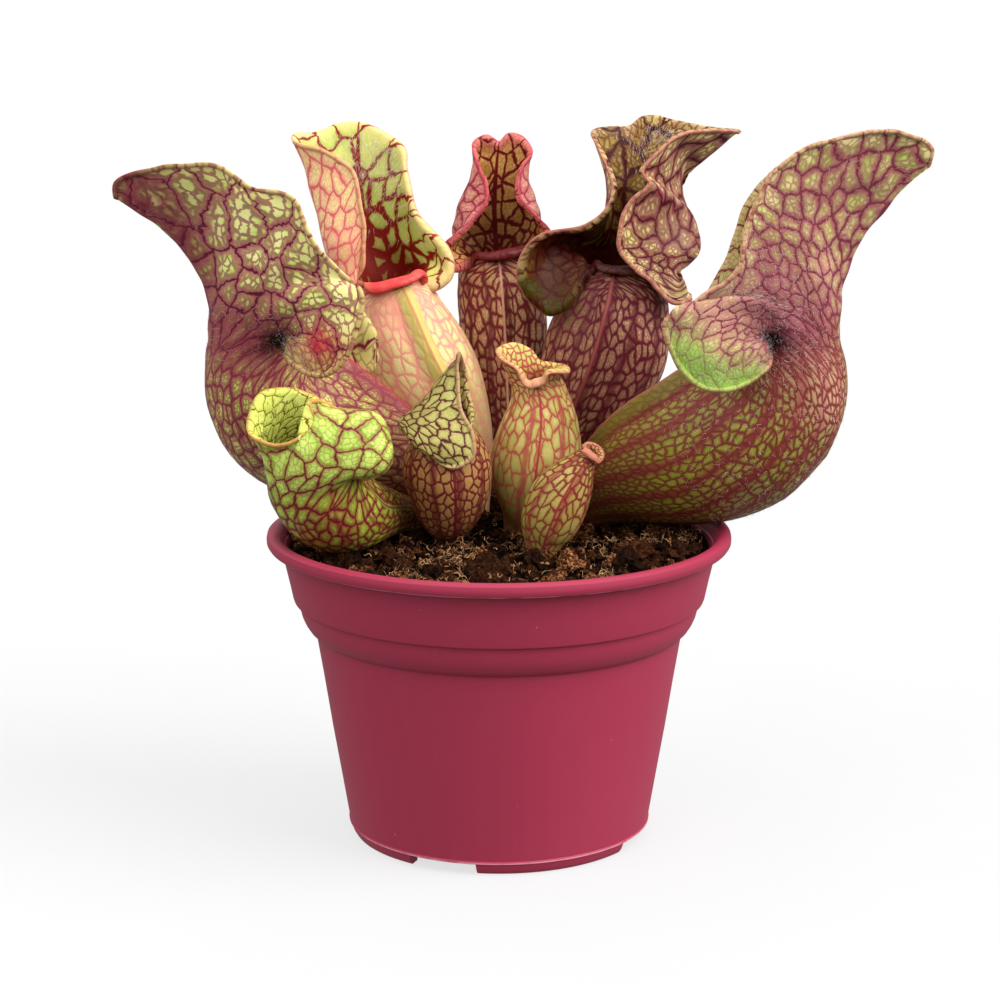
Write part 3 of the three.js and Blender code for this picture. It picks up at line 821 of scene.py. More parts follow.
        middle_share = nearest.ramp(halo, halo + side("size") * 0.3)
        mixed = (tone * 0.5 + mottle * 1.0 + middle_share * 0.5 - 0.5).clamped()
        colour = r.blend(coat("cell"), coat("second"), mixed)
        colour = r.blend(colour, self.base, low)
        colour = r.blend(colour, self.margin, rim_zone * self.margin_share)
        colour = r.blend(colour, self.lime, lime.clamped())
        shy = 1.0 - lime.clamped() * self.hiding
        colour = r.blend(colour, coat("beside"), (covered * shy).clamped())
        blush = clouds.ramp(0.35, 0.75) * self.flushed * (0.4 + 1.2 * mottle)
        flushes = (blush + flush * (0.2 + 0.9 * mottle)).clamped() * (1.0 - vein * 0.5)
        colour = r.blend(colour, self.flush, flushes * shy)
        colour = r.blend(colour, self.stripe, stripe * self.stripe_share * shy * (1.0 - low * 0.2))
        colour = r.blend(colour, self.glow, (glow * (0.4 + mottle)).clamped())
        # Painted shade: the inside turns to the vein colour down the throat, below the neck.
        throat_shade = inside * (1.0 - rise.ramp(0.95, 1.5)) * self.throat_shade
        dark = vein * (0.4 + shy * 0.6) * (1.0 - low * 0.3)
        dark = dark.math("MAXIMUM", small * side("small") * 0.55 * (1.0 - beside * 0.6))
        colour = r.blend(colour, coat("vein"), (dark + throat_shade).clamped())

        from_front = (0.5 - turn.math("ABSOLUTE")) * girth
        grooves = r.noise(r.joined(turn * girth, climbed * 0.25), 1.4, 2.0)
        keel = (1.0 - from_front.ramp(self.keel_width * 0.45, self.keel_width)) * (1.0 - hood)
        colour = r.blend(colour, self.keel, keel * (0.35 + 0.9 * grooves).clamped())
        ridge = (1.0 - from_front.ramp(self.ridge_width * 0.6, self.ridge_width * 1.3)) * (1.0 - hood)
        colour = r.blend(colour, self.ridge, ridge * 0.85)
        rim = (1.0 - (from_edge + (mottle - 0.5) * 0.4).ramp(0.2, 0.65)) * on_hood
        colour = r.blend(colour, self.edge, rim * self.edge_share)
        colour = r.blend(colour, self.lip, lip * (0.8 + 0.3 * mottle).clamped())
        if self.speckle:
            speck = r.cells(r.place(), 0.0034, Feature.CENTRE, is_flat=False)
            dots = (1.0 - speck.ramp(0.00028, 0.00045)) * self.speckle * (1.0 - lip)
            colour = r.blend(colour, paint(50, 26, 26), dots)
        colour = r.blend(colour, self.dry, (dry * (0.7 + 0.6 * mottle)).clamped())
        # Painted shade darkens the pit at the neck.
        colour = r.blend(colour, self.pit_shade, pit_shade.clamped())
        r.set("Base Color", colour)
        r.set("Roughness", self.gloss + 0.18 * grain - 0.14 * lip)
        swollen = nearest.ramp(0.0, side("size") * 0.3) * self.puff
        r.bump(swollen + small_edge.ramp(0.0, 0.5) * 0.12 + grain * 0.1 + grooves * keel * 0.3, 0.0003, 0.7)
        return r.material


@dataclass
class Pitcher:
    """One leaf: a tube that swells and narrows to a neck, a rolled lip in front and a hood behind."""

    node: str
    growth: Growth
    finish: LeafFinish
    flush: tuple[Spot, ...] = ()
    lime: tuple[Spot, ...] = ()
    glow: tuple[Spot, ...] = ()
    dry: tuple[Spot, ...] = ()
    # Patches of painted shade over the pit, the dark hollow at the neck.
    pit_shade: tuple[Spot, ...] = ()
    unevenness: float = 0.35
    seed: int = 1
    hairs: "Hairs | None" = None
    plan: Plan = field(init=False)

    def __post_init__(self) -> None:
        """Take the measured form and lay out the spine, the neck and the collar's columns."""
        self.plan = PLANS[self.node]
        root = np.array(self.plan.root, float)
        stations = np.array(self.plan.stations, float)
        marks = seen(stations[:, 0], stations[:, 1], stations[:, 2], self.plan.plane)
        self.centres = np.concatenate([root[:, :3], marks])
        self.across = np.concatenate([root[:, 3], stations[:, 3]])
        self.deep = np.concatenate([root[:, 3], stations[:, 4]])
        facing = math.radians(self.plan.front)
        self.facing = np.array([math.cos(facing), math.sin(facing), 0.0])
        self.lay_columns()

    def section(self, v: Array) -> tuple[Array, ...]:
        """The tube's centres, half sizes and directions.

        Args:
            v: Places up the tube, 0 at the root and 1 at the neck.

        Returns:
            Centres, half widths, half depths, and the directions along, to the front and to the side.
        """
        at = v * (len(self.centres) - 1)
        near = 1e-4 * (len(self.centres) - 1)
        top = len(self.centres) - 1
        ahead = spline(self.centres, np.minimum(at + near, top))
        behind = spline(self.centres, np.maximum(at - near, 0))
        along = unit(ahead - behind)
        front = unit(self.facing - along * (along @ self.facing)[:, None])
        side = np.cross(along, front)
        return spline(self.centres, at), spline(self.across, at), spline(self.deep, at), along, front, side

    def skin(self, v: Array, angles: Array) -> Array:
        """The tube's skin.

        Args:
            v: Places up the tube, 0 at the root and 1 at the neck.
            angles: Turns round it from its front, in degrees.

        Returns:
            Points, one row for each v and one column for each angle.
        """
        centre, across, deep, _, front, side = self.section(v)
        turn = np.radians(angles)[None, :, None]
        ridge = np.maximum(0, 1 - np.abs((angles + 540) % 360 - 180) / KEEL_HALF_ANGLE)
        climb = np.clip((v - KEEL_START) / (1 - KEEL_START), 0, 1)
        swell = np.maximum(np.sin(math.pi * climb), 0) ** KEEL_FULLNESS
        reach = deep[:, None] * np.cos(turn[..., 0]) + self.plan.keel * swell[:, None] * ridge
        side_reach = across[:, None, None] * np.sin(turn)
        return centre[:, None] + front[:, None] * reach[..., None] + side[:, None] * side_reach

    def lay_columns(self) -> None:
        """Work out the collar's columns, first those that were measured, then the finer ones between."""
        plan = self.plan
        fore = KEEL_HALF_ANGLE if plan.keel > 0 else plan.lip / 2
        lips = [0.0, fore, (fore + plan.lip) / 2] if plan.keel > 0 else [0.0, fore]
        last = len(plan.edge) - 1
        half = 180 - plan.lip
        beyond = last - plan.tip
        left = [plan.lip + half * i / plan.tip for i in range(plan.tip + 1)]
        right = [180 + half * i / beyond for i in range(1, beyond + 1)]
        angles = np.array(lips + left + right + [360 - angle for angle in reversed(lips[1:])])
        rims = self.skin(np.array([1.0]), angles)[0]
        _, _, _, along, front, side = (part[0] for part in self.section(np.array([1.0])))
        handles = []
        for i, angle in enumerate(angles):
            hood_mark = i - len(lips)
            if 0 <= hood_mark <= last:
                x, z, y, *more = plan.edge[hood_mark]
                flare, way = (*more, 0.0, None)[:2] if len(more) < 2 else more
                end = seen(x, z, y, plan.plane)
                reach = np.linalg.norm(rims[i] - end)
                turn = math.radians(angle)
                outward = front * math.cos(turn) + side * math.sin(turn)
                first = rims[i] + along * (plan.lift * reach) + outward * (flare * reach)
                second = seen(*way, plan.plane) if way else end + (first - end) * plan.bow
                handles.append([first, second, end])
            else:
                rises = (LIP_RISE / 3, LIP_RISE / 1.5, LIP_RISE + plan.roll)
                handles.append([rims[i] + along * rise for rise in rises])
        is_lip = np.array([not 0 <= i - len(lips) <= last for i in range(len(angles))], float)
        finer = self.growth.value.columns
        at = np.arange(len(angles) * finer) / finer
        wrapped = np.append(angles, 360.0)
        self.angles = np.interp(at, np.arange(len(wrapped)), wrapped)
        self.handles = spline(np.array(handles), at, closed=True)
        lip_share = np.interp(at, np.arange(len(angles) + 1), np.append(is_lip, is_lip[0]))
        self.lip_share = smooth_step(lip_share, 0, 1)
        self.curl = EDGE_CURL + (plan.roll - EDGE_CURL) * self.lip_share
        self.turn = EDGE_TURN + (LIP_TURN - EDGE_TURN) * self.lip_share

    def rows(self) -> tuple[Array, Array]:
        """Rows of the leaf's middle skin from the root, up the tube and the collar, and over the edge.

        Returns:
            The rows, and how high each one is: 0 at the root, 1 at the neck and 2 at the edge.
        """
        fine = self.growth.value
        v = np.linspace(0, 1, fine.tube)
        tube = evened(self.skin(v, self.angles), TUBE_EVENING)
        rim = tube[-1]
        first, second, end = (self.handles[:, i] for i in range(3))
        way = unit(end - second)
        stop = end - way * self.curl[:, None]
        t = (np.arange(1, fine.hood + 1) / fine.hood)[:, None, None]
        rest = 1 - t
        collar = rim * rest**3 + first * 3 * rest**2 * t + second * 3 * rest * t**2 + stop * t**3
        round_edge = np.roll(stop, -fine.columns, axis=0) - np.roll(stop, fine.columns, axis=0)
        outward = unit(np.cross(round_edge, way))
        turn = np.radians(self.turn)[:, None] * (np.arange(1, fine.curl + 1) / fine.curl)[:, None, None]
        radius = self.curl[:, None]
        curled = stop + radius * (way * np.sin(turn) + outward * (1 - np.cos(turn)))
        high = np.concatenate([v, 1 + t.ravel(), np.full(fine.curl, 2.0)])
        return np.concatenate([tube, collar, curled]), high

    def uneven(self, rows: Array, high: Array) -> Array:
        """Give the leaf soft dents and swells.

        Args:
            rows: The rows of its middle skin.
            high: How high each one is.

        Returns:
            The uneven rows, still plain low on the stem.
        """
        share = smooth_step(high, *DENTED)[:, None] * self.unevenness
        dents = ripple(rows, DENT_LENGTH, self.seed)
        dents = dents + DIMPLE_SHARE * ripple(rows, DIMPLE_LENGTH, self.seed + 50)
        return rows + self.normals(rows) * (dents * share)[..., None]

    def normals(self, rows: Array, rounds: int = 1) -> Array:
        """Directions square to the skin.

        Args:
            rows: The rows of the skin.
            rounds: How often they are evened out between neighbours.

        Returns:
            One direction for each point.
        """
        around = np.roll(rows, -1, axis=1) - np.roll(rows, 1, axis=1)
        up = np.concatenate([rows[1:], rows[-1:]]) - np.concatenate([rows[:1], rows[:-1]])
        out = unit(np.cross(around, up))
        for _ in range(rounds):
            sides = np.roll(out, -1, axis=1) + np.roll(out, 1, axis=1)
            ends = np.concatenate([out[1:], out[-1:]]) + np.concatenate([out[:1], out[:-1]])
            out = unit(2 * out + sides + ends)
        return out

    def flat_map(self, rows: Array, high: Array) -> tuple[Array, Array, Array]:
        """Lay the skin out flat, as if it were peeled off from the back.

        Args:
            rows: The rows of the leaf's middle skin.
            high: How high each one is.

        Returns:
            Places on the flat skin in cells of the vein net, with a cell's size as the third number, then
            how far round each point is, as a share of the girth from the back, with the girth, and how far
            each point is from the edge. The first two have one column more, which closes the row.
        """
        steps = np.linalg.norm(np.diff(rows, axis=0), axis=-1)
        travelled = summed(steps)
        spans = np.linalg.norm(np.roll(rows, -1, axis=1) - rows, axis=-1)
        hooded = self.lip_share < 0.5
        in_tube = high <= 1
        hood_girth = spans[:, hooded].sum(axis=1) / (1 - self.plan.lip / 180)
        girth = evened(np.where(in_tube, spans.sum(axis=1), hood_girth), GIRTH_EVENING)
        belly, neck = girth[in_tube].max(), girth[in_tube][-1]
        growth = np.where(in_tube, girth, neck * (girth / neck) ** HOOD_GROWTH) / belly
        cell = self.finish.cell_size(high) * np.maximum(growth, LEAST_CELL)
        around = np.concatenate([np.zeros((len(rows), 1)), np.cumsum(spans, axis=1)], axis=1)
        back = int(np.argmin(np.abs(self.angles - 180)))
        around = around - around[:, back:back + 1]
        draw = self.finish.draw + (HOOD_DRAW - self.finish.draw) * smooth_step(high[1:], *HOODED)
        climbed = summed(steps * (draw / cell[1:])[:, None])
        climbed = np.concatenate([climbed, climbed[:, :1]], axis=1)
        wide = np.broadcast_to(cell[:, None], around.shape)
        net = np.stack([around / cell[:, None] + self.seed * NET_SHIFT, climbed, wide], axis=-1)
        full = np.broadcast_to(girth[:, None], around.shape)
        halves = np.where(around < 0, -around / around[:, :1], around / around[:, -1:])
        turn = np.stack([halves / 2, full, full * 0], axis=-1)
        return net, turn, travelled[-1] - travelled

    def build(self) -> bpy.types.Object:
        """Make the leaf as one closed body with the numbers that its finish reads.

        Returns:
            The finished leaf.
        """
        rows, high = self.rows()
        rows = self.uneven(rows, high)
        net, turn, from_edge = self.flat_map(rows, high)
        square = self.normals(rows, 3)
        hollow = high >= self.plan.floor_row / (TUBE_ROWS_IN_SOLID - 1)
        self.outer = rows + square * (self.plan.wall / 2)
        self.inner = (rows - square * (self.plan.wall / 2))[hollow][::-1]
        self.high = high
        curled = self.growth.value.curl
        turned = np.zeros(len(rows))
        turned[-curled:] = np.linspace(0, 0.5, curled)
        lips = self.lip_share * smooth_step(high, *LIPPED)[:, None]
        points = np.concatenate([self.outer.reshape(-1, 3), self.inner.reshape(-1, 3)])
        points = np.concatenate([points, [rows[0].mean(axis=0), self.inner[-1].mean(axis=0)]])
        zone = np.concatenate([
            self.zone(high, turned, from_edge),
            self.zone(high[hollow][::-1], (1 - turned)[hollow][::-1], from_edge[hollow][::-1]),
        ])
        zone = np.concatenate([zone, zone[:1], zone[-1:]])
        lip = np.concatenate([lips.ravel(), lips[hollow][::-1].ravel(), [0.0, 0.0]])
        row_count = len(self.outer) + len(self.inner)
        faces = closed_skin(row_count, rows.shape[1])
        piece = piece_from(f"{self.node}_leaf", points, faces, self.finish.dress())
        within = self.finish.hood.size / self.finish.inner.size
        inner_net = net * np.array([within, within, 1 / within])
        for name, outside, inside in (("net", net, inner_net), ("turn", turn, turn)):
            low = np.concatenate([outside, inside[hollow][::-1]])
            high_side = np.concatenate([low[1:len(outside)], outside[-1:], low[len(outside) + 1:]])
            keep(piece, name, self.corners(low, high_side), Holder.CORNERS)
        patches = (self.flush, self.lime, self.glow, self.dry, self.pit_shade)
        flush, lime, glow, dry, pit_shade = (np.clip(covered_by(spots, points), 0, 1) for spots in patches)
        keep(piece, "zone", zone)
        keep(piece, "stain", np.stack([flush, lime, lip], axis=-1))
        keep(piece, "shade", np.stack([pit_shade, dry, glow], axis=-1))
        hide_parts(self.node)
        return piece

    def corners(self, low: Array, high: Array) -> Array:
        """Numbers for every corner of the faces, in the faces' order.

        Args:
            low: The numbers at each row, with a column that closes it.
            high: The numbers at the upper side of each square, one row fewer.

        Returns:
            One set of numbers for each corner.
        """
        squares = np.stack([low[:-1, :-1], low[:-1, 1:], high[:, 1:], high[:, :-1]], axis=2).reshape(-1, 3)
        first, last = low[0], low[-1]
        root = np.stack([first[1:], first[1:], first[:-1]], axis=1).reshape(-1, 3)
        floor = np.stack([last[:-1], last[1:], last[:-1]], axis=1).reshape(-1, 3)
        return np.concatenate([squares, root, floor])

    def zone(self, high: Array, inside: Array, from_edge: Array) -> Array:
        """The three numbers that say where on the leaf some rows are.

        Args:
            high: How high each row is.
            inside: How far inside each row is, 0 on the outer skin and 1 on the inner one.
            from_edge: How far each point is from the edge.

        Returns:
            One set of numbers for each point.
        """
        shape = from_edge.shape
        high = np.broadcast_to(high[:, None], shape)
        inside = np.broadcast_to(inside[:, None], shape)
        return np.stack([high, inside, from_edge], axis=-1).reshape(-1, 3)


class Side(Enum):
    """The side of a leaf that hairs stand on."""

    OUTER = "outer"
    INNER = "inner"


@dataclass(frozen=True)
class HairFinish:
    """Fine plant hairs, pale or dark."""

    name: str
    light: Colour
    dark: Colour

    def dress(self) -> bpy.types.Material:
        """The material of the hairs.

        Returns:
            The material.
        """
        r = Recipe(self.name, Specular_IOR_Level=0.4, Subsurface_Weight=0.2, Subsurface_Scale=0.001)
        clouds = r.noise(r.place(), 700.0, 2.0)
        r.set("Base Color", r.blend(self.dark, self.light, clouds.ramp(0.3, 0.7)))
        r.set("Roughness", 0.5 + 0.1 * clouds)
        return r.material


@dataclass(frozen=True)
class Hairs:
    """Fine straight hairs strewn over one side of a leaf, thickest in some patches."""

    finish: HairFinish
    side: Side
    count: int
    length: tuple[float, float]
    patches: tuple[Spot, ...]
    spread: float = 0.0
    lowest: float = 0.5
    width: float = 0.045
    lean: float = 1.0
    fall: float = 0.0
    seed: int = 1

    def grow(self, pitcher: Pitcher) -> bpy.types.Object:
        """Strew the hairs over a finished leaf.

        Args:
            pitcher: The leaf that they stand on.

        Returns:
            The hairs as one piece.
        """
        rng = np.random.default_rng(self.seed)
        rows = getattr(pitcher, self.side.value)
        up = unit(np.gradient(rows, axis=0))
        around = unit(np.roll(rows, -1, axis=1) - np.roll(rows, 1, axis=1))
        square = unit(np.cross(around, up))
        spans = np.linalg.norm(np.roll(rows, -1, axis=1) - rows, axis=-1)
        area = spans * np.linalg.norm(np.gradient(rows, axis=0), axis=-1)
        weight = area * (self.spread + covered_by(self.patches, rows))
        height = pitcher.high if self.side is Side.OUTER else pitcher.high[-len(rows):][::-1]
        weight = weight * (height > self.lowest)[:, None] * (height < 2)[:, None]
        picks = rng.choice(weight.size, self.count, p=(weight / weight.sum()).ravel())
        row, column = np.divmod(picks, rows.shape[1])
        row = np.minimum(row, len(rows) - 2)
        after = (column + 1) % rows.shape[1]
        s, t = rng.uniform(0, 1, (2, self.count, 1))
        start = (rows[row, column] * (1 - s) + rows[row, after] * s) * (1 - t)
        start = start + (rows[row + 1, column] * (1 - s) + rows[row + 1, after] * s) * t
        spin = rng.uniform(0, 2 * math.pi, (self.count, 1))
        flat = up[row, column] * np.cos(spin) + around[row, column] * np.sin(spin)
        rootward = up[row, column] * (1 if self.side is Side.INNER else -1)
        out = square[row, column]
        stand = rng.uniform(*HAIR_STAND, (self.count, 1))
        way = unit(out * stand + flat * self.lean + rootward * self.fall)
        reach = rng.uniform(*self.length, (self.count, 1))
        points, faces = slivers(start - out * HAIR_ROOT, start + way * reach, self.width)
        return piece_from(f"{pitcher.node}_hairs", points, faces, self.finish.dress())


def slivers(starts: Array, ends: Array, width: float) -> tuple[Array, list]:
    """Closed needles with three sides, a small base at each start and a point at each end.

    Args:
        starts: Where the needles start.
        ends: Where their points are.
        width: How far the base's corners are from its middle.

    Returns:
        All points and faces.
    """
    side, over = sides_of(unit(ends - starts))
    corners = [starts + width * (side * math.cos(turn) + over * math.sin(turn)) for turn in THREAD_TURNS]
    points = np.stack([*corners, ends], axis=1).reshape(-1, 3)
    one = np.array([[0, 1, 3], [1, 2, 3], [2, 0, 3], [2, 1, 0]])
    faces = (one[None] + 4 * np.arange(len(starts))[:, None, None]).reshape(-1, 3)
    return points, faces.tolist()


@dataclass(frozen=True)
class PotFinish:
    """Raspberry-red moulded plastic with a satin skin."""

    slot: str = "pot_plastic"
    colour: Colour = paint(154, 45, 70)
    worn: Colour = paint(172, 68, 92)
    # The pale line colour serves the specks, the seam near the base and the painted highlight line under
    # the lip; the first height below is that highlight's, the second the seam's.
    line: Colour = paint(226, 150, 170)
    lip_highlight: float = 77.35
    base_line: float = 3.3
    line_width: float = 0.24

    def dress(self) -> bpy.types.Material:
        """The material of the pot: satin, finely scuffed, with a pale seam line near the base and a painted
        highlight line under the lip.

        Returns:
            The material.
        """
        r = Recipe(self.slot, Specular_IOR_Level=0.25, Coat_Weight=0.05, Coat_Roughness=0.25)
        at = r.place()
        height = r.parts(at)[2] * (1 / MM)
        clouds = r.noise(at, 18.0, 3.0)
        mid = r.noise(at, 160.0, 3.0)
        fine = r.noise(at, 900.0, 2.0)
        scuffs = r.noise(r.stretched(at, (1.0, 1.0, 0.12)), 260.0, 3.0)
        scuffed = scuffs.ramp(0.6, 0.74) * 0.25
        colour = r.blend(self.colour, self.worn, (clouds.ramp(0.45, 0.8) * 0.12 + scuffed * 0.35).clamped())
        broken = mid.ramp(0.3, 0.55)

        def line_at(level: float) -> Value:
            """A thin broken pale line round the pot, for the seam near the base and for the painted
            highlight under the lip.
            """
            away = (height - level).math("ABSOLUTE")
            return (1.0 - away.ramp(self.line_width * 0.4, self.line_width)) * broken

        # The upper line is a painted highlight along the lip's lower edge; the lower one is the pale seam.
        colour = r.blend(colour, self.line, line_at(self.lip_highlight) * 0.9 + line_at(self.base_line) * 0.8)
        specks = r.cells(at, 0.006, Feature.CENTRE, is_flat=False)
        dots = (1.0 - specks.ramp(0.00012, 0.0003)) * mid.ramp(0.5, 0.62)
        colour = r.blend(colour, self.line, dots * 0.5)
        r.set("Base Color", colour)
        r.set("Roughness", 0.42 + 0.1 * clouds + 0.08 * fine + 0.1 * scuffed)
        r.bump(fine * 0.5 + clouds * 0.5, 0.00005, 0.6)
        return r.material


@dataclass
class Pot:
    """The pot: a ring foot with four notches, a tapered wall, two bands, and a rolled lip.

    The outline is a row of radii and heights, up the outside, over the lip and down the inside.
    """

    finish: PotFinish
    sides: int = 192
    foot_outer: float = 37.4
    foot_inner: float = 34.4
    foot_height: float = 3.4
    gap_count: int = 4
    gap_angle: float = 28.0
    first_gap: float = -112.0
    gap_height: float = 3.0
    gap_length: float = 12.0
    drain_count: int = 6
    drain_sides: int = 32
    drain_radius: float = 3.0
    drain_circle: float = 24.0
    drain_depth: float = 8.0
    pole_radius: float = 0.5
    edge_width: float = 0.15
    edge_angle: float = 50.0
    smooth_angle: float = 32.0
    outline: tuple = (
        (37.4, 0.0), (38.1, 0.35), (38.7, 1.3), (39.2, 2.9), (39.55, 3.1), (39.6, 3.5), (39.4, 3.8),
        (41.5, 16.5), (43.6, 29.0), (45.6, 42.0), (47.65, 54.5), (48.5, 54.9), (49.6, 56.0), (50.5, 57.4),
        (51.2, 59.0), (51.7, 61.0), (51.9, 62.6), (52.5, 62.9), (53.2, 63.2), (53.45, 63.9), (54.3, 68.0),
        (55.4, 72.8), (56.2, 76.4), (56.8, 76.9), (58.6, 77.1), (59.5, 77.5), (59.95, 78.2), (60.0, 79.2),
        (59.8, 80.1), (59.2, 80.6), (58.4, 80.8), (57.5, 80.7), (56.8, 80.3), (56.3, 79.5), (54.9, 76.5),
        (51.9, 63.8), (50.4, 62.5), (49.4, 58.8), (46.15, 56.6), (37.8, 5.0),
    )

    def build(self) -> bpy.types.Object:
        """Turn the pot from a ring that is drawn out step by step, and cut the notches and the drain holes.

        Returns:
            The finished pot.
        """
        deselect_all()
        radius = self.foot_outer * MM
        bpy.ops.mesh.primitive_circle_add(vertices=self.sides, radius=radius, fill_type="NOTHING")
        piece = bpy.context.object
        piece.name = "pot_shell"
        bpy.ops.object.mode_set(mode="EDIT")
        bpy.ops.mesh.select_all(action="SELECT")
        self.draw_out((*self.outline, (self.pole_radius, self.outline[-1][1])))
        bpy.ops.mesh.select_all(action="DESELECT")
        bpy.ops.object.mode_set(mode="OBJECT")
        for vertex in piece.data.vertices:
            near_foot = abs(math.hypot(vertex.co.x, vertex.co.y) - radius) < 1e-6
            vertex.select = near_foot and vertex.co.z < 1e-6
        bpy.ops.object.mode_set(mode="EDIT")
        inside, under = self.foot_inner, self.foot_height
        self.draw_out(((self.foot_outer, 0.0), (inside, 0.0), (inside, under), (self.pole_radius, under)))
        bpy.ops.mesh.select_all(action="SELECT")
        bpy.ops.mesh.normals_make_consistent(inside=False)
        bpy.ops.object.mode_set(mode="OBJECT")
        for cutter in [*self.notches(), *self.drains()]:
            self.cut(piece, cutter)
        self.round_off(piece)
        piece.data.transform(Matrix.Translation((AXIS_X, AXIS_Y, 0)))
        piece.data.materials.clear()
        piece.data.materials.append(self.finish.dress())
        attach(piece, "root")
        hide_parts("pot")
        log.info("%s: %d faces", piece.name, len(piece.data.polygons))
        return piece

    def draw_out(self, outline: tuple[tuple[float, float], ...]) -> None:
        """Extrude the selected ring along an outline, and close it in the middle.

        Args:
            outline: Radii and heights, the first of them the ring's own.
        """
        for (radius, height), (next_radius, next_height) in zip(outline, outline[1:]):
            rise = (next_height - height) * MM
            bpy.ops.mesh.extrude_region_move(TRANSFORM_OT_translate={"value": (0, 0, rise)})
            scale = next_radius / radius
            bpy.ops.transform.resize(value=(scale, scale, 1), center_override=(0, 0, next_height * MM))
        bpy.ops.mesh.merge(type="CENTER")

    def notches(self) -> list[bpy.types.Object]:
        """Make the blocks that open the ring foot.

        Returns:
            The blocks.
        """
        cutters = []
        for i in range(self.gap_count):
            turn = math.radians(self.first_gap + i * 360 / self.gap_count)
            width = 2 * self.foot_outer * math.sin(math.radians(self.gap_angle / 2))
            middle = (self.foot_inner + self.foot_outer) / 2
            deselect_all()
            bpy.ops.mesh.primitive_cube_add(
                size=1, location=(middle * math.cos(turn) * MM, middle * math.sin(turn) * MM, 0),
                rotation=(0, 0, turn), scale=(self.gap_length * MM, width * MM, 2 * self.gap_height * MM))
            cutters.append(bpy.context.object)
        return cutters

    def drains(self) -> list[bpy.types.Object]:
        """Make the rods that open the drain holes.

        Returns:
            The rods.
        """
        cutters = []
        for i in range(self.drain_count):
            turn = i * 2 * math.pi / self.drain_count
            x, y = self.drain_circle * math.cos(turn), self.drain_circle * math.sin(turn)
            deselect_all()
            bpy.ops.mesh.primitive_cylinder_add(
                vertices=self.drain_sides, radius=self.drain_radius * MM, depth=self.drain_depth * MM,
                location=(x * MM, y * MM, self.drain_depth / 2 * MM))
            cutters.append(bpy.context.object)
        return cutters

    def cut(self, piece: bpy.types.Object, cutter: bpy.types.Object) -> None:
        """Take a cutter's shape out of the pot.

        Args:
            piece: The pot.
            cutter: The block or rod, which is used up.
        """
        pick(piece)
        trim = piece.modifiers.new("trim", "BOOLEAN")
        trim.operation = "DIFFERENCE"
        trim.object = cutter
        trim.solver = "EXACT"
        bpy.ops.object.modifier_apply(modifier=trim.name)
        bpy.data.objects.remove(cutter)

    def round_off(self, piece: bpy.types.Object) -> None:
        """Break the moulded edges and smooth the turned faces.

        Args:
            piece: The pot.
        """
        pick(piece)
        edges = piece.modifiers.new("edges", "BEVEL")
        edges.width = self.edge_width * MM
        edges.segments = 2
        edges.limit_method = "ANGLE"
        edges.angle_limit = math.radians(self.edge_angle)
        bpy.ops.object.modifier_apply(modifier=edges.name)
        bpy.ops.object.shade_smooth_by_angle(angle=math.radians(self.smooth_angle))


@dataclass(frozen=True)
class SoilFinish:
    """Dark peat and bark crumbs."""

    slot: str = "soil"
    # Near-black: the darkest peat on the crumbs, and on the body, which keeps no tone, painted shade in the
    # gaps between the crumbs.
    dark: Colour = paint(5, 2, 1)
    brown: Colour = paint(92, 50, 24)
    tan: Colour = paint(178, 124, 82)

    def dress(self, name: str) -> bpy.types.Material:
        """A crumbly material, each crumb as light as the tone that it keeps.

        Args:
            name: The material's name.

        Returns:
            The material.
        """
        r = Recipe(name, Specular_IOR_Level=0.06)
        tone = r.parts(r.stored("tone"))[0]
        clouds = r.noise(r.place(), 200.0, 4.0)
        fine = r.noise(r.place(), 1500.0, 4.0)
        shade = tone * tone * (0.3 + clouds * 1.2) * (0.4 + 1.2 * fine.ramp(0.35, 0.7))
        colour = r.blend(self.dark, self.brown, shade.clamped())
        colour = r.blend(colour, self.tan, tone.ramp(0.7, 1.0) * fine.ramp(0.45, 0.65) * 0.8)
        r.set("Base Color", colour)
        r.set("Roughness", 0.98 - 0.25 * fine)
        r.bump(fine * 0.6 + clouds * 0.4, 0.0006, 1.0)
        return r.material


@dataclass(frozen=True)
class FibreFinish:
    """Dry brown root threads."""

    slot: str = "soil"
    dark: Colour = paint(60, 28, 12)
    light: Colour = paint(234, 178, 122)

    def dress(self) -> bpy.types.Material:
        """A dry thread's material, lighter and darker from thread to thread.

        Returns:
            The material.
        """
        r = Recipe("fibre", Specular_IOR_Level=0.3)
        tone = r.parts(r.stored("tone"))[0]
        clouds = r.noise(r.place(), 500.0, 2.0)
        r.set("Base Color", r.blend(self.dark, self.light, (tone + clouds * 0.5 - 0.25).clamped()))
        r.set("Roughness", 0.8 + 0.1 * clouds)
        return r.material


@dataclass(frozen=True)
class Crumbs:
    """A kind of loose crumb: how many, their sizes and how light they are."""

    name: str
    count: int
    sizes: tuple[float, float]
    detail: int
    tones: tuple[float, float]
    rise: tuple[float, float]


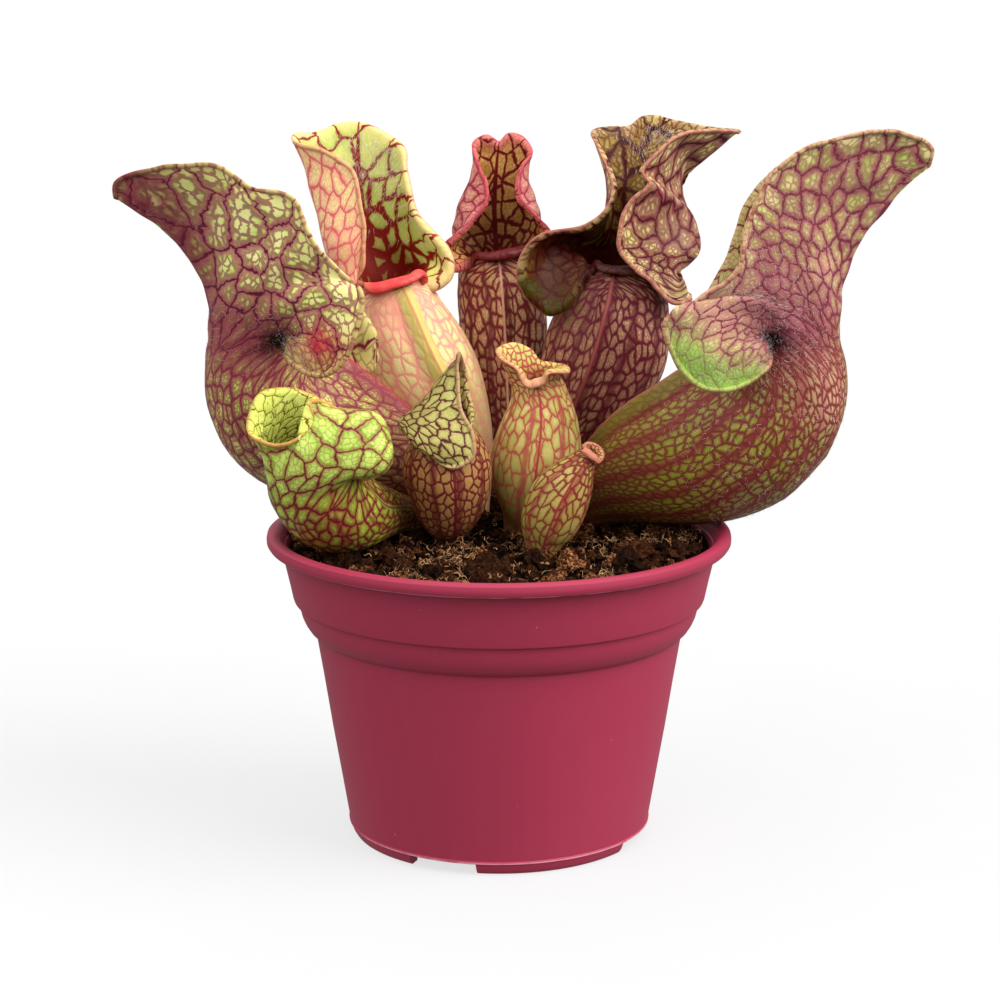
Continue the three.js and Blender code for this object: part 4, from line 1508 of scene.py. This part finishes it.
@dataclass
class Soil:
    """The soil: a filled body with a rough top, loose crumbs and curled threads.

    The wall is a row of radii and heights that follows the inside of the pot. Each swell of the top has
    its height, its length and its seed, and the crown is a low heap behind the middle.
    """

    finish: SoilFinish
    fibres: FibreFinish
    top: float = 77.0
    reach: float = 54.0
    base: float = 5.6
    sides: int = 160
    rings: int = 46
    wall: tuple = ((37.4, 5.6), (45.6, 56.6), (48.8, 58.8), (49.8, 62.5), (51.3, 63.8), (54.2, 75.6))
    swells: tuple = ((0.6, 11.0, 3), (0.4, 4.2, 4))
    settled: float = 0.7
    crown: float = 0.9
    crown_middle: tuple[float, float] = (1.0, 12.0)
    crown_spread: tuple[float, float] = (24.0, 26.0)
    seed: int = 7
    models: int = 5
    crumb_dents: tuple[float, float] = (-0.35, 0.25)
    crumb_swell: float = 0.3
    crumb_wave: float = 0.4
    crumb_stretch: tuple[float, float, float] = (1.25, 0.95, 0.75)
    threads: int = 2000
    thread_points: int = 7
    thread_reach: float = 52.5
    thread_radius: tuple[float, float] = (0.03, 0.09)
    thread_bend: float = 0.45
    thread_wander: float = 0.8
    thread_strides: tuple[float, float] = (0.15, 0.7)
    thread_arch: float = 0.35
    thread_arches: tuple[float, float] = (-0.8, 1.6)
    thread_rise: tuple[float, float] = (0.2, 1.0)
    loose_every: int = 4
    loose_reach: float = 51.5
    loose_pile: float = 0.4
    tufts: int = 80
    tuft_reach: float = 50.0
    tuft_spread: float = 2.0
    tuft_piles: tuple[float, float] = (0.6, 2.6)
    crumbs: tuple[Crumbs, ...] = (
        Crumbs("soil_lumps", 120, (1.8, 3.6), 3, (0.3, 1.0), (-0.1, 0.25)),
        Crumbs("soil_crumbs", 900, (0.6, 1.6), 2, (0.0, 0.95), (-0.2, 0.4)),
        Crumbs("soil_grit", 2400, (0.25, 0.7), 1, (0.0, 1.0), (0.0, 0.7)),
    )

    def height(self, x: Array, y: Array) -> Array:
        """The height of the rough top.

        Args:
            x: How far to the right places are from the pot's axis.
            y: How far behind it they are.

        Returns:
            One height for each place.
        """
        flat = np.stack([x, y, np.zeros_like(x)], axis=-1)
        (middle_x, middle_y), (spread_x, spread_y) = self.crown_middle, self.crown_spread
        heap = np.exp(-(((x - middle_x) / spread_x) ** 2) - ((y - middle_y) / spread_y) ** 2)
        level = self.top
        for rise, length, seed in self.swells:
            level = level + rise * ripple(flat, length, seed)
        return level + self.crown * heap - self.settled

    def build(self) -> None:
        """Make the body, the crumbs and the threads."""
        self.build_body()
        for kind in self.crumbs:
            self.build_crumbs(kind)
        self.build_threads()

    def build_body(self) -> None:
        """The filled body with the rough top."""
        turn = np.arange(self.sides) * 2 * math.pi / self.sides
        levels = [(r, np.full(self.sides, z)) for r, z in self.wall]
        for i in range(self.rings):
            r = self.reach * (1 - i / self.rings)
            levels.append((r, self.height(r * np.cos(turn), r * np.sin(turn))))
        rows = np.array([np.stack([r * np.cos(turn), r * np.sin(turn), z], axis=-1) for r, z in levels])
        points = np.concatenate([rows.reshape(-1, 3), [[0, 0, self.base], [0, 0, self.top]]])
        faces = closed_skin(len(rows), self.sides)
        # The body keeps no tone, so it is all the near-black dark colour: dark peat, and painted shade in
        # the gaps between the crumbs.
        body = piece_from("soil_body", points, faces, self.finish.dress("soil"))
        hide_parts("soil")

    def strewn(self, rng: np.random.Generator, reach: float) -> tuple[float, float]:
        """A place anywhere on a round top: how far out it is, and its turn."""
        return reach * math.sqrt(rng.uniform(0, 1)), rng.uniform(0, 2 * math.pi)

    def crumb(self, detail: int, seed: int) -> tuple[Array, list]:
        """One rough crumb, about one across.

        Args:
            detail: How often the ball that it starts from is divided.
            seed: The number that its draws start from.

        Returns:
            Its points and its faces.
        """
        deselect_all()
        bpy.ops.mesh.primitive_ico_sphere_add(subdivisions=detail, radius=0.5)
        model = bpy.context.object
        points = np.array([vertex.co[:] for vertex in model.data.vertices])
        faces = [list(face.vertices) for face in model.data.polygons]
        rng = np.random.default_rng(seed)
        dents = rng.uniform(*self.crumb_dents, (len(points), 1))
        points *= 1 + dents + self.crumb_swell * ripple(points, self.crumb_wave, seed)[:, None]
        bpy.data.objects.remove(model)
        return points * np.array(self.crumb_stretch), faces

    def build_crumbs(self, kind: Crumbs) -> None:
        """Strew copies of a few crumbs over the top.

        Args:
            kind: The kind of crumb.
        """
        rng = np.random.default_rng(self.seed + kind.detail)
        models = [self.crumb(kind.detail, seed) for seed in range(self.models)]
        points, tones, faces, start = [], [], [], 0
        for i in range(kind.count):
            size = 2 * rng.uniform(*kind.sizes)
            r, a = self.strewn(rng, self.reach - size / 2)
            x, y = r * math.cos(a), r * math.sin(a)
            shape, shape_faces = models[i % len(models)]
            z = float(self.height(np.array([x]), np.array([y]))[0])
            place = np.array([x, y, z + size * rng.uniform(*kind.rise)])
            points.append(shape @ self.turned(rng).T * size + place)
            tones.append(np.full(len(shape), rng.uniform(*kind.tones)))
            faces.extend([[start + k for k in face] for face in shape_faces])
            start += len(shape)
        material = self.finish.dress(kind.name)
        piece = piece_from(kind.name, np.concatenate(points), faces, material)
        piece.data.polygons.foreach_set("use_smooth", [False] * len(piece.data.polygons))
        keep(piece, "tone", np.repeat(np.concatenate(tones)[:, None], 3, axis=1))

    def turned(self, rng: np.random.Generator) -> Array:
        """A turn to any side, as a matrix."""
        base, _ = np.linalg.qr(rng.normal(size=(3, 3)))
        return base * np.sign(np.linalg.det(base))

    def build_threads(self) -> None:
        """Lay curled threads on and in the crumbs, most of them piled in tufts."""
        rng = np.random.default_rng(self.seed + 20)
        reach, piles = self.tuft_reach, self.tuft_piles
        tufts = [(*self.strewn(rng, reach), rng.uniform(*piles)) for _ in range(self.tufts)]
        steps = self.thread_points
        lowest, highest = self.thread_rise
        thinnest, more = self.thread_radius
        lines, tones = [], []
        for i in range(self.threads):
            if i % self.loose_every:
                r, a, pile = tufts[i % len(tufts)]
                spread = self.tuft_spread
            else:
                r, a = self.strewn(rng, self.loose_reach)
                pile, spread = self.loose_pile, 0.0
            x = r * math.cos(a) + spread * rng.normal(0, 1)
            y = r * math.sin(a) + spread * rng.normal(0, 1)
            bend = rng.normal(0, self.thread_bend) * np.arange(steps)
            heading = rng.uniform(0, 6.28) + np.cumsum(rng.normal(0, self.thread_wander, steps)) + bend
            stride = rng.uniform(*self.thread_strides)
            x = x + np.cumsum(np.cos(heading)) * stride
            y = y + np.cumsum(np.sin(heading)) * stride
            away = np.hypot(x, y)
            pull = np.minimum(1, self.thread_reach / np.maximum(away, 1e-6))
            x, y = x * pull, y * pull
            arch = np.clip(np.cumsum(rng.normal(0, self.thread_arch, steps)), *self.thread_arches)
            z = self.height(x, y) + rng.uniform(lowest, highest + pile) + arch
            lines.append((np.stack([x, y, z], axis=-1), thinnest + more * rng.uniform(0, 1) ** 2))
            tones.append(rng.uniform(0, 1) ** 1.6)
        points, faces = tubes(lines)
        threads = piece_from("soil_threads", points, faces, self.fibres.dress())
        tone = np.repeat(np.array(tones), 3 * steps)
        keep(threads, "tone", np.repeat(tone[:, None], 3, axis=1))


def tubes(lines: list[tuple[Array, float]]) -> tuple[Array, list]:
    """Thin three-sided closed threads along lines.

    Args:
        lines: Each line's points and its radius, in millimetres.

    Returns:
        All points and faces.
    """
    points, faces, start = [], [], 0
    for line, radius in lines:
        side, over = sides_of(unit(np.gradient(line, axis=0)))
        step = np.arange(len(line)) + 0.35
        thin = np.minimum(1, np.minimum(step, step[::-1]))
        for turn in THREAD_TURNS:
            points.append(line + (side * math.cos(turn) + over * math.sin(turn)) * (radius * thin)[:, None])
        size = len(line)
        ring = [start, start + size, start + 2 * size]
        for i in range(size - 1):
            for a, b in ((0, 1), (1, 2), (2, 0)):
                faces.append([ring[a] + i, ring[b] + i, ring[b] + i + 1, ring[a] + i + 1])
        faces.append([ring[2], ring[1], ring[0]])
        faces.append([ring[0] + size - 1, ring[1] + size - 1, ring[2] + size - 1])
        start += 3 * size
    return np.concatenate(points), faces


@dataclass(frozen=True)
class Lamp:
    """A wide soft light from far off.

    Height is degrees above the floor, side is degrees to the right of the camera, and spread its width.
    """

    name: str
    height: float
    side: float
    spread: float
    power: float

    def hang(self) -> None:
        """Put the light up."""
        lamp = bpy.data.lights.new(self.name, "SUN")
        lamp.energy = self.power
        lamp.angle = math.radians(self.spread)
        holder = bpy.data.objects.new(self.name, lamp)
        bpy.context.scene.collection.objects.link(holder)
        holder.rotation_euler = (math.radians(90 - self.height), 0, math.radians(self.side))


@dataclass
class Studio:
    """The floor, the lights and the camera."""

    sky: float = 0.33
    floor_size: float = 60.0
    floor_glow: float = 0.7
    floor_greys: tuple[float, float] = (0.15, 0.16)
    lamps: tuple[Lamp, ...] = (
        Lamp("key", 38.0, 69.0, 50.0, 3.6),
        Lamp("fill", 36.0, -46.0, 60.0, 0.95),
        Lamp("dome", 88.0, 0.0, 150.0, 2.65),
    )

    def build(self) -> None:
        """Set up the plain pale floor, soft lights and the camera."""
        self.lay_floor()
        for lamp in self.lamps:
            lamp.hang()
        world = bpy.context.scene.world or bpy.data.worlds.new("studio")
        bpy.context.scene.world = world
        world.use_nodes = True
        sky = world.node_tree.nodes["Background"]
        sky.inputs["Color"].default_value = (1, 1, 1, 1)
        sky.inputs["Strength"].default_value = self.sky
        self.place_camera()
        bpy.context.scene.view_settings.view_transform = "Standard"

    def lay_floor(self) -> None:
        """The plain pale floor."""
        r = Recipe("floor", Specular_IOR_Level=0.0)
        grain = r.noise(r.place(), 30.0, 2.0)
        darker, lighter = ((grey,) * 3 for grey in self.floor_greys)
        r.set("Base Color", r.blend(darker, lighter, grain))
        r.set("Roughness", 0.8 + 0.1 * grain)
        r.shader.inputs["Emission Color"].default_value = (1, 1, 1, 1)
        r.shader.inputs["Emission Strength"].default_value = self.floor_glow
        deselect_all()
        bpy.ops.mesh.primitive_plane_add(size=self.floor_size, location=(0, 0, 0))
        floor = bpy.context.object
        floor.name = "floor"
        floor.data.materials.append(r.material)
        floor.visible_diffuse = False
        floor.visible_glossy = False

    def place_camera(self) -> None:
        """The camera at the photo's standpoint."""
        lens = bpy.data.cameras.new("camera")
        lens.lens = LENS
        lens.sensor_width = SENSOR_WIDTH
        lens.shift_x = SHIFT
        camera = bpy.data.objects.new("camera", lens)
        bpy.context.scene.collection.objects.link(camera)
        camera.location = (AXIS_X, AXIS_Y - EYE_DISTANCE * MM, EYE_HEIGHT * MM)
        camera.rotation_euler = (math.pi / 2 - EYE_PITCH, 0, 0)
        bpy.context.scene.camera = camera


LEFT = LeafFinish(
    slot="leaf_left",
    hood=Ground(paint(202, 232, 100), paint(250, 242, 168), paint(182, 94, 106), paint(94, 26, 44),
                7.0, 0.3, 1.7, 0.7, 0.2),
    tube=Ground(paint(172, 206, 78), paint(230, 222, 132), paint(170, 90, 90), paint(122, 46, 58),
                2.9, 0.14, 0.55, 0.7),
    inner=Ground(paint(160, 176, 80), paint(196, 186, 110), paint(140, 60, 70), paint(110, 26, 44),
                 7.0, 0.5, 0.6, 0.4),
    base=paint(150, 120, 84), flush=paint(126, 42, 56), margin=paint(232, 214, 136),
    edge=paint(150, 70, 66), lip=paint(150, 30, 50), keel=paint(152, 70, 80), ridge=paint(170, 50, 60),
    lime=paint(222, 180, 122), glow=paint(200, 50, 66), small_width=0.045, margin_width=3.4,
    margin_share=0.65, edge_share=0.35, keel_width=5.0, base_share=0.2, stripes=16, stripe_width=0.5,
    stripe_share=0.6, flushed=0.25, softness=0.2, stripe=paint(128, 48, 60),
)
RIGHT = LeafFinish(
    slot="leaf_right",
    hood=Ground(paint(186, 208, 92), paint(246, 230, 164), paint(158, 82, 92), paint(112, 46, 56),
                4.6, 0.18, 2.0, 0.5, 0.2),
    tube=Ground(paint(120, 140, 34), paint(170, 162, 72), paint(130, 78, 48), paint(112, 46, 38),
                1.9, 0.07, 0.4, 0.3),
    inner=Ground(paint(150, 170, 74), paint(190, 180, 104), paint(140, 60, 60), paint(110, 30, 40),
                 5.0, 0.3, 0.5, 0.4),
    base=paint(132, 144, 12), flush=paint(150, 82, 94), margin=paint(220, 186, 140),
    edge=paint(184, 116, 100), lip=paint(150, 40, 50), keel=paint(120, 104, 44),
    ridge=paint(150, 90, 70), lime=paint(158, 204, 86), glow=paint(220, 160, 140), draw=0.6,
    small_width=0.035, softness=0.42, stripes=15, stripe_width=1.0, stripe_share=0.95, flushed=0.35,
    edge_share=0.4, keel_width=5.0, ridge_width=0.5, base_share=0.85, puff=0.4, speckle=0.4,
    stripe=paint(126, 36, 44),
)
BACK_LEFT = LeafFinish(
    slot="leaf_back_left",
    hood=Ground(paint(242, 206, 152), paint(240, 220, 146), paint(236, 156, 134), paint(210, 94, 96),
                4.0, 0.16, 0.9, 0.35, 0.1),
    tube=Ground(paint(230, 232, 142), paint(250, 238, 176), paint(246, 206, 160), paint(232, 152, 134),
                2.3, 0.08, 0.4, 0.3),
    inner=Ground(paint(158, 172, 76), paint(192, 196, 104), paint(156, 92, 44), paint(122, 22, 14),
                 5.6, 0.85, 0.5, 0.05, 0.75),
    base=paint(190, 188, 92), flush=paint(226, 112, 112), margin=paint(240, 204, 150),
    edge=paint(220, 150, 112), lip=paint(214, 66, 68), keel=paint(206, 196, 102),
    ridge=paint(198, 132, 84), stripe_width=0.7, stripe_share=0.5, midrib=0.8, keel_width=3.5,
    base_share=0.8, softness=0.35, throat_shade=0.7, puff=0.35, stripe=paint(222, 128, 112),
)
BACK = LeafFinish(
    slot="leaf_back",
    hood=Ground(paint(216, 134, 128), paint(216, 172, 132), paint(196, 86, 100), paint(134, 38, 50),
                3.8, 0.16, 0.8, 0.5, 0.2),
    tube=Ground(paint(208, 186, 120), paint(218, 162, 124), paint(158, 74, 76), paint(114, 34, 42),
                2.2, 0.08, 0.55, 0.4),
    inner=Ground(paint(218, 172, 98), paint(184, 142, 70), paint(148, 60, 44), paint(98, 16, 18),
                 3.2, 0.19, 0.45, 0.3, 0.1),
    base=paint(160, 140, 80), flush=paint(176, 62, 76), margin=paint(208, 88, 104),
    edge=paint(182, 60, 80), lip=paint(92, 22, 26), keel=paint(196, 146, 116),
    ridge=paint(206, 156, 124), stripes=12, stripe_width=0.55, stripe_share=0.8, midrib=0.35,
    keel_width=0.35, base_share=0.2, margin_width=3.0, margin_share=0.7, throat_shade=0.45, softness=0.35,
    puff=0.3, stripe=paint(100, 26, 32), ridge_width=0.2,
)
# Its dark flush and dark olive lime colours also serve as painted shade on the left lobe of the hood.
BACK_RIGHT = LeafFinish(
    slot="leaf_back_right",
    hood=Ground(paint(232, 192, 146), paint(226, 216, 130), paint(130, 52, 62), paint(68, 14, 24),
                4.4, 0.2, 1.7, 0.6, 0.1),
    tube=Ground(paint(200, 170, 118), paint(196, 140, 114), paint(126, 52, 62), paint(90, 22, 38),
                2.3, 0.08, 0.6, 0.45),
    inner=Ground(paint(186, 164, 78), paint(130, 88, 28), paint(92, 24, 4), paint(58, 4, 2),
                 4.2, 0.42, 1.1, 0.6, 0.35),
    base=paint(140, 110, 70), flush=paint(84, 22, 20), margin=paint(236, 206, 160),
    edge=paint(182, 110, 96), lip=paint(60, 14, 18), keel=paint(104, 40, 44), ridge=paint(146, 72, 66),
    small_width=0.05, keel_width=0.9, base_share=0.2, stripes=12, stripe_width=0.8, stripe_share=0.75,
    flushed=0.3, throat_shade=1.0, softness=0.32, puff=0.35, stripe=paint(92, 22, 34), lime=paint(58, 70, 2),
    margin_share=0.3, hiding=0.35,
)
YOUNG_FRONT_LEFT = LeafFinish(
    slot="leaf_young_front_left",
    hood=Ground(paint(134, 176, 54), paint(206, 226, 114), paint(158, 112, 68), paint(98, 28, 34),
                4.4, 0.16, 0.6, 0.4, 0.3),
    tube=Ground(paint(122, 162, 38), paint(186, 210, 80), paint(142, 80, 48), paint(98, 26, 28),
                3.2, 0.17, 0.6, 0.3),
    inner=Ground(paint(198, 212, 78), paint(232, 242, 128), paint(150, 130, 44), paint(112, 72, 26),
                 2.0, 0.06, 0.12, 0.1, 0.4),
    base=paint(140, 160, 60), flush=paint(140, 56, 52), margin=paint(206, 200, 104),
    edge=paint(210, 124, 72), lip=paint(206, 104, 66), keel=paint(142, 170, 62),
    ridge=paint(110, 34, 46), draw=0.8, stripes=8, stripe_width=0.5, stripe_share=0.8, keel_width=0.8,
    base_share=0.3, margin_width=1.2, puff=0.5, speckle=0.35, throat_shade=0.2, stripe=paint(120, 38, 42),
)
YOUNG_FRONT = LeafFinish(
    slot="leaf_young_front",
    hood=Ground(paint(148, 150, 74), paint(192, 188, 112), paint(132, 86, 58), paint(74, 24, 30),
                2.6, 0.14, 0.25, 0.2, 0.1),
    tube=Ground(paint(188, 150, 88), paint(172, 136, 76), paint(148, 74, 56), paint(104, 28, 32),
                2.1, 0.11, 0.3, 0.2),
    inner=Ground(paint(190, 184, 96), paint(206, 190, 110), paint(150, 90, 70), paint(110, 40, 50),
                 2.4, 0.12, 0.25, 0.1),
    base=paint(146, 112, 58), flush=paint(132, 44, 44), margin=paint(200, 186, 120),
    edge=paint(176, 128, 100), lip=paint(178, 66, 78), keel=paint(116, 34, 40),
    ridge=paint(108, 30, 36), draw=0.7, stripes=10, stripe_share=0.8, flushed=0.2, keel_width=0.5,
    base_share=0.2, margin_width=1.0, puff=0.4, softness=0.16, stripe=paint(104, 28, 34),
)
YOUNG_BACK = LeafFinish(
    slot="leaf_young_back",
    hood=Ground(paint(208, 190, 110), paint(238, 220, 152), paint(214, 142, 100), paint(176, 74, 62),
                2.4, 0.1, 0.3, 0.15, 0.1),
    tube=Ground(paint(178, 178, 78), paint(230, 214, 138), paint(214, 150, 106), paint(182, 82, 72),
                2.5, 0.07, 0.22, 0.15),
    inner=Ground(paint(190, 200, 96), paint(214, 206, 118), paint(206, 140, 98), paint(180, 76, 70),
                 2.4, 0.1, 0.25, 0.1),
    base=paint(116, 126, 26), flush=paint(200, 98, 82), margin=paint(226, 160, 126),
    edge=paint(212, 138, 108), lip=paint(224, 160, 124), keel=paint(182, 74, 68),
    ridge=paint(168, 58, 58), draw=0.5, stripes=7, stripe_width=0.5, stripe_share=0.8, flushed=0.12,
    softness=0.25, keel_width=0.5, ridge_width=0.25, base_share=0.85, margin_width=0.8, puff=0.3,
    stripe=paint(172, 60, 60),
)
YOUNG_BUD = LeafFinish(
    slot="leaf_young_bud",
    hood=Ground(paint(196, 170, 100), paint(212, 186, 122), paint(170, 100, 70), paint(126, 50, 40),
                2.0, 0.1, 0.3, 0.12),
    tube=Ground(paint(156, 150, 66), paint(196, 176, 104), paint(152, 86, 56), paint(118, 40, 36),
                2.1, 0.08, 0.22, 0.15),
    inner=Ground(paint(170, 180, 84), paint(200, 190, 104), paint(190, 110, 80), paint(150, 60, 60),
                 2.0, 0.12, 0.22, 0.1),
    base=paint(140, 130, 60), flush=paint(160, 62, 60), margin=paint(204, 150, 108),
    edge=paint(204, 128, 100), lip=paint(204, 128, 100), keel=paint(150, 54, 54),
    ridge=paint(136, 44, 48), stripes=6, stripe_share=0.75, flushed=0.12, softness=0.2, keel_width=0.4,
    ridge_width=0.22, margin_width=0.8, puff=0.3, stripe=paint(140, 44, 48),
)

WHITE_HAIR = HairFinish("pale_hair", paint(252, 240, 226), paint(236, 206, 196))
DARK_HAIR = HairFinish("dark_hair", paint(104, 74, 46), paint(60, 30, 26))

PITCHERS = (
    Pitcher(
        "pitcher_left",
        Growth.GROWN,
        LEFT,
        flush=(
            Spot((-92, -7, 169), 15.0, 1.0),
            Spot((-83, -6, 159), 8.0, 0.9),
            Spot((-78, -6, 147), 8.0, 0.9),
            Spot((-72, -8, 135), 9.0, 0.9),
            Spot((-56, -16, 134), 9.0, 0.8),
            Spot((-65, -13, 130), 9.0, 0.6),
        ),
        lime=(Spot((-49, -23, 128), 4.5, 0.9),),
        glow=(Spot((-44, -27, 133), 5.5, 1.1),),
        # The pit patches are painted shade in the hollow at the neck.
        pit_shade=(Spot((-54.2, -14.3, 132.3), 2.2, 2.0), Spot((-55, -14.5, 132.6), 4.5, 0.7)),
        seed=11,
        hairs=Hairs(WHITE_HAIR, Side.OUTER, 900, (0.8, 2.0),
                    (Spot((-54, -15, 132), 8.0), Spot((-67, -5, 130), 9.0, 0.5)),
                    spread=0.04, width=0.026, seed=21),
    ),
    Pitcher(
        "pitcher_right",
        Growth.GROWN,
        RIGHT,
        flush=(
            Spot((74, -18, 131), 13.0, 0.9),
            Spot((66, -26, 148), 13.0, 0.7),
            Spot((84, -18, 172), 12.0, 0.4),
        ),
        lime=(
            Spot((45, -33, 130), 7.0, 1.2),
            Spot((50, -31, 122), 7.5, 1.2),
            Spot((58, -29, 119), 7.5, 1.2),
            Spot((64, -25, 123), 5.0, 1.1),
        ),
        glow=(
            Spot((84, -15, 117), 9.0, 0.7),
            Spot((54, -30, 143), 8.0, 0.7),
            Spot((81, -18, 150), 7.0, 0.4),
        ),
        # The pit patches are painted shade in the hollow at the neck.
        pit_shade=(Spot((67.6, -17.4, 132.7), 2.0, 2.0), Spot((68.3, -17.2, 132.7), 4.0, 0.6)),
        seed=12,
        hairs=Hairs(WHITE_HAIR, Side.OUTER, 4600, (0.9, 2.2),
                    (Spot((70, -19, 131), 10.0, 0.8), Spot((62, -28, 150), 13.0, 0.6),
                     Spot((55, -34, 124), 10.0, 0.8)),
                    spread=0.25, width=0.034, seed=22),
    ),
    Pitcher(
        "pitcher_back_left",
        Growth.GROWN,
        BACK_LEFT,
        flush=(Spot((-26, 26, 134), 10.0, 0.8), Spot((-38, 28, 148), 9.0, 0.5)),
        seed=13,
        hairs=Hairs(WHITE_HAIR, Side.INNER, 1000, (1.8, 3.4), (Spot((-33, 53, 172), 12.0),),
                    lowest=1.2, fall=1.0, lean=0.4, width=0.035, seed=23),
    ),
    Pitcher("pitcher_back", Growth.GROWN, BACK, seed=14),
    Pitcher(
        "pitcher_back_right",
        Growth.GROWN,
        BACK_RIGHT,
        # The first flush patch and the lime patch, both on the hood's left lobe, are partly painted shade:
        # the lobe is dark olive with a red net, and is darkened further where it faces away into shade.
        flush=(Spot((16, 34, 147), 9.0, 2.0), Spot((45.8, 33.9, 154), 9.0, 0.5)),
        lime=(Spot((12, 29, 135), 8.5, 2.2),),
        seed=15,
        hairs=Hairs(WHITE_HAIR, Side.INNER, 600, (2.0, 3.8), (Spot((46, 55, 177), 8.0),),
                    lowest=1.2, fall=1.0, lean=0.4, width=0.032, seed=24),
    ),
    Pitcher(
        "young_front_left",
        Growth.YOUNG,
        YOUNG_FRONT_LEFT,
        flush=(Spot((-30, -22, 108), 9.0, 0.5), Spot((-40, -34, 88), 10.0, 0.5)),
        unevenness=0.2,
        seed=16,
        hairs=Hairs(DARK_HAIR, Side.INNER, 220, (1.2, 3.0), (Spot((-52, -28, 115), 7.0),),
                    lowest=1.1, fall=1.2, lean=0.3, seed=25),
    ),
    Pitcher("young_front", Growth.YOUNG, YOUNG_FRONT, dry=(Spot((-9.8, -7, 125), 3.0, 1.2),),
            unevenness=0.2, seed=17),
    Pitcher("young_back", Growth.YOUNG, YOUNG_BACK, unevenness=0.15, seed=18),
    Pitcher("young_bud", Growth.YOUNG, YOUNG_BUD, unevenness=0.1, seed=19),
)


def main() -> None:
    """Build the plant piece by piece, then the studio, and note the sizes."""
    logging.basicConfig(level=logging.INFO, format="%(message)s")
    Pot(PotFinish()).build()
    Soil(SoilFinish(), FibreFinish()).build()
    for pitcher in PITCHERS:
        pitcher.build()
        if pitcher.hairs:
            pitcher.hairs.grow(pitcher)
    Studio().build()


if __name__ == "__main__":
    main()
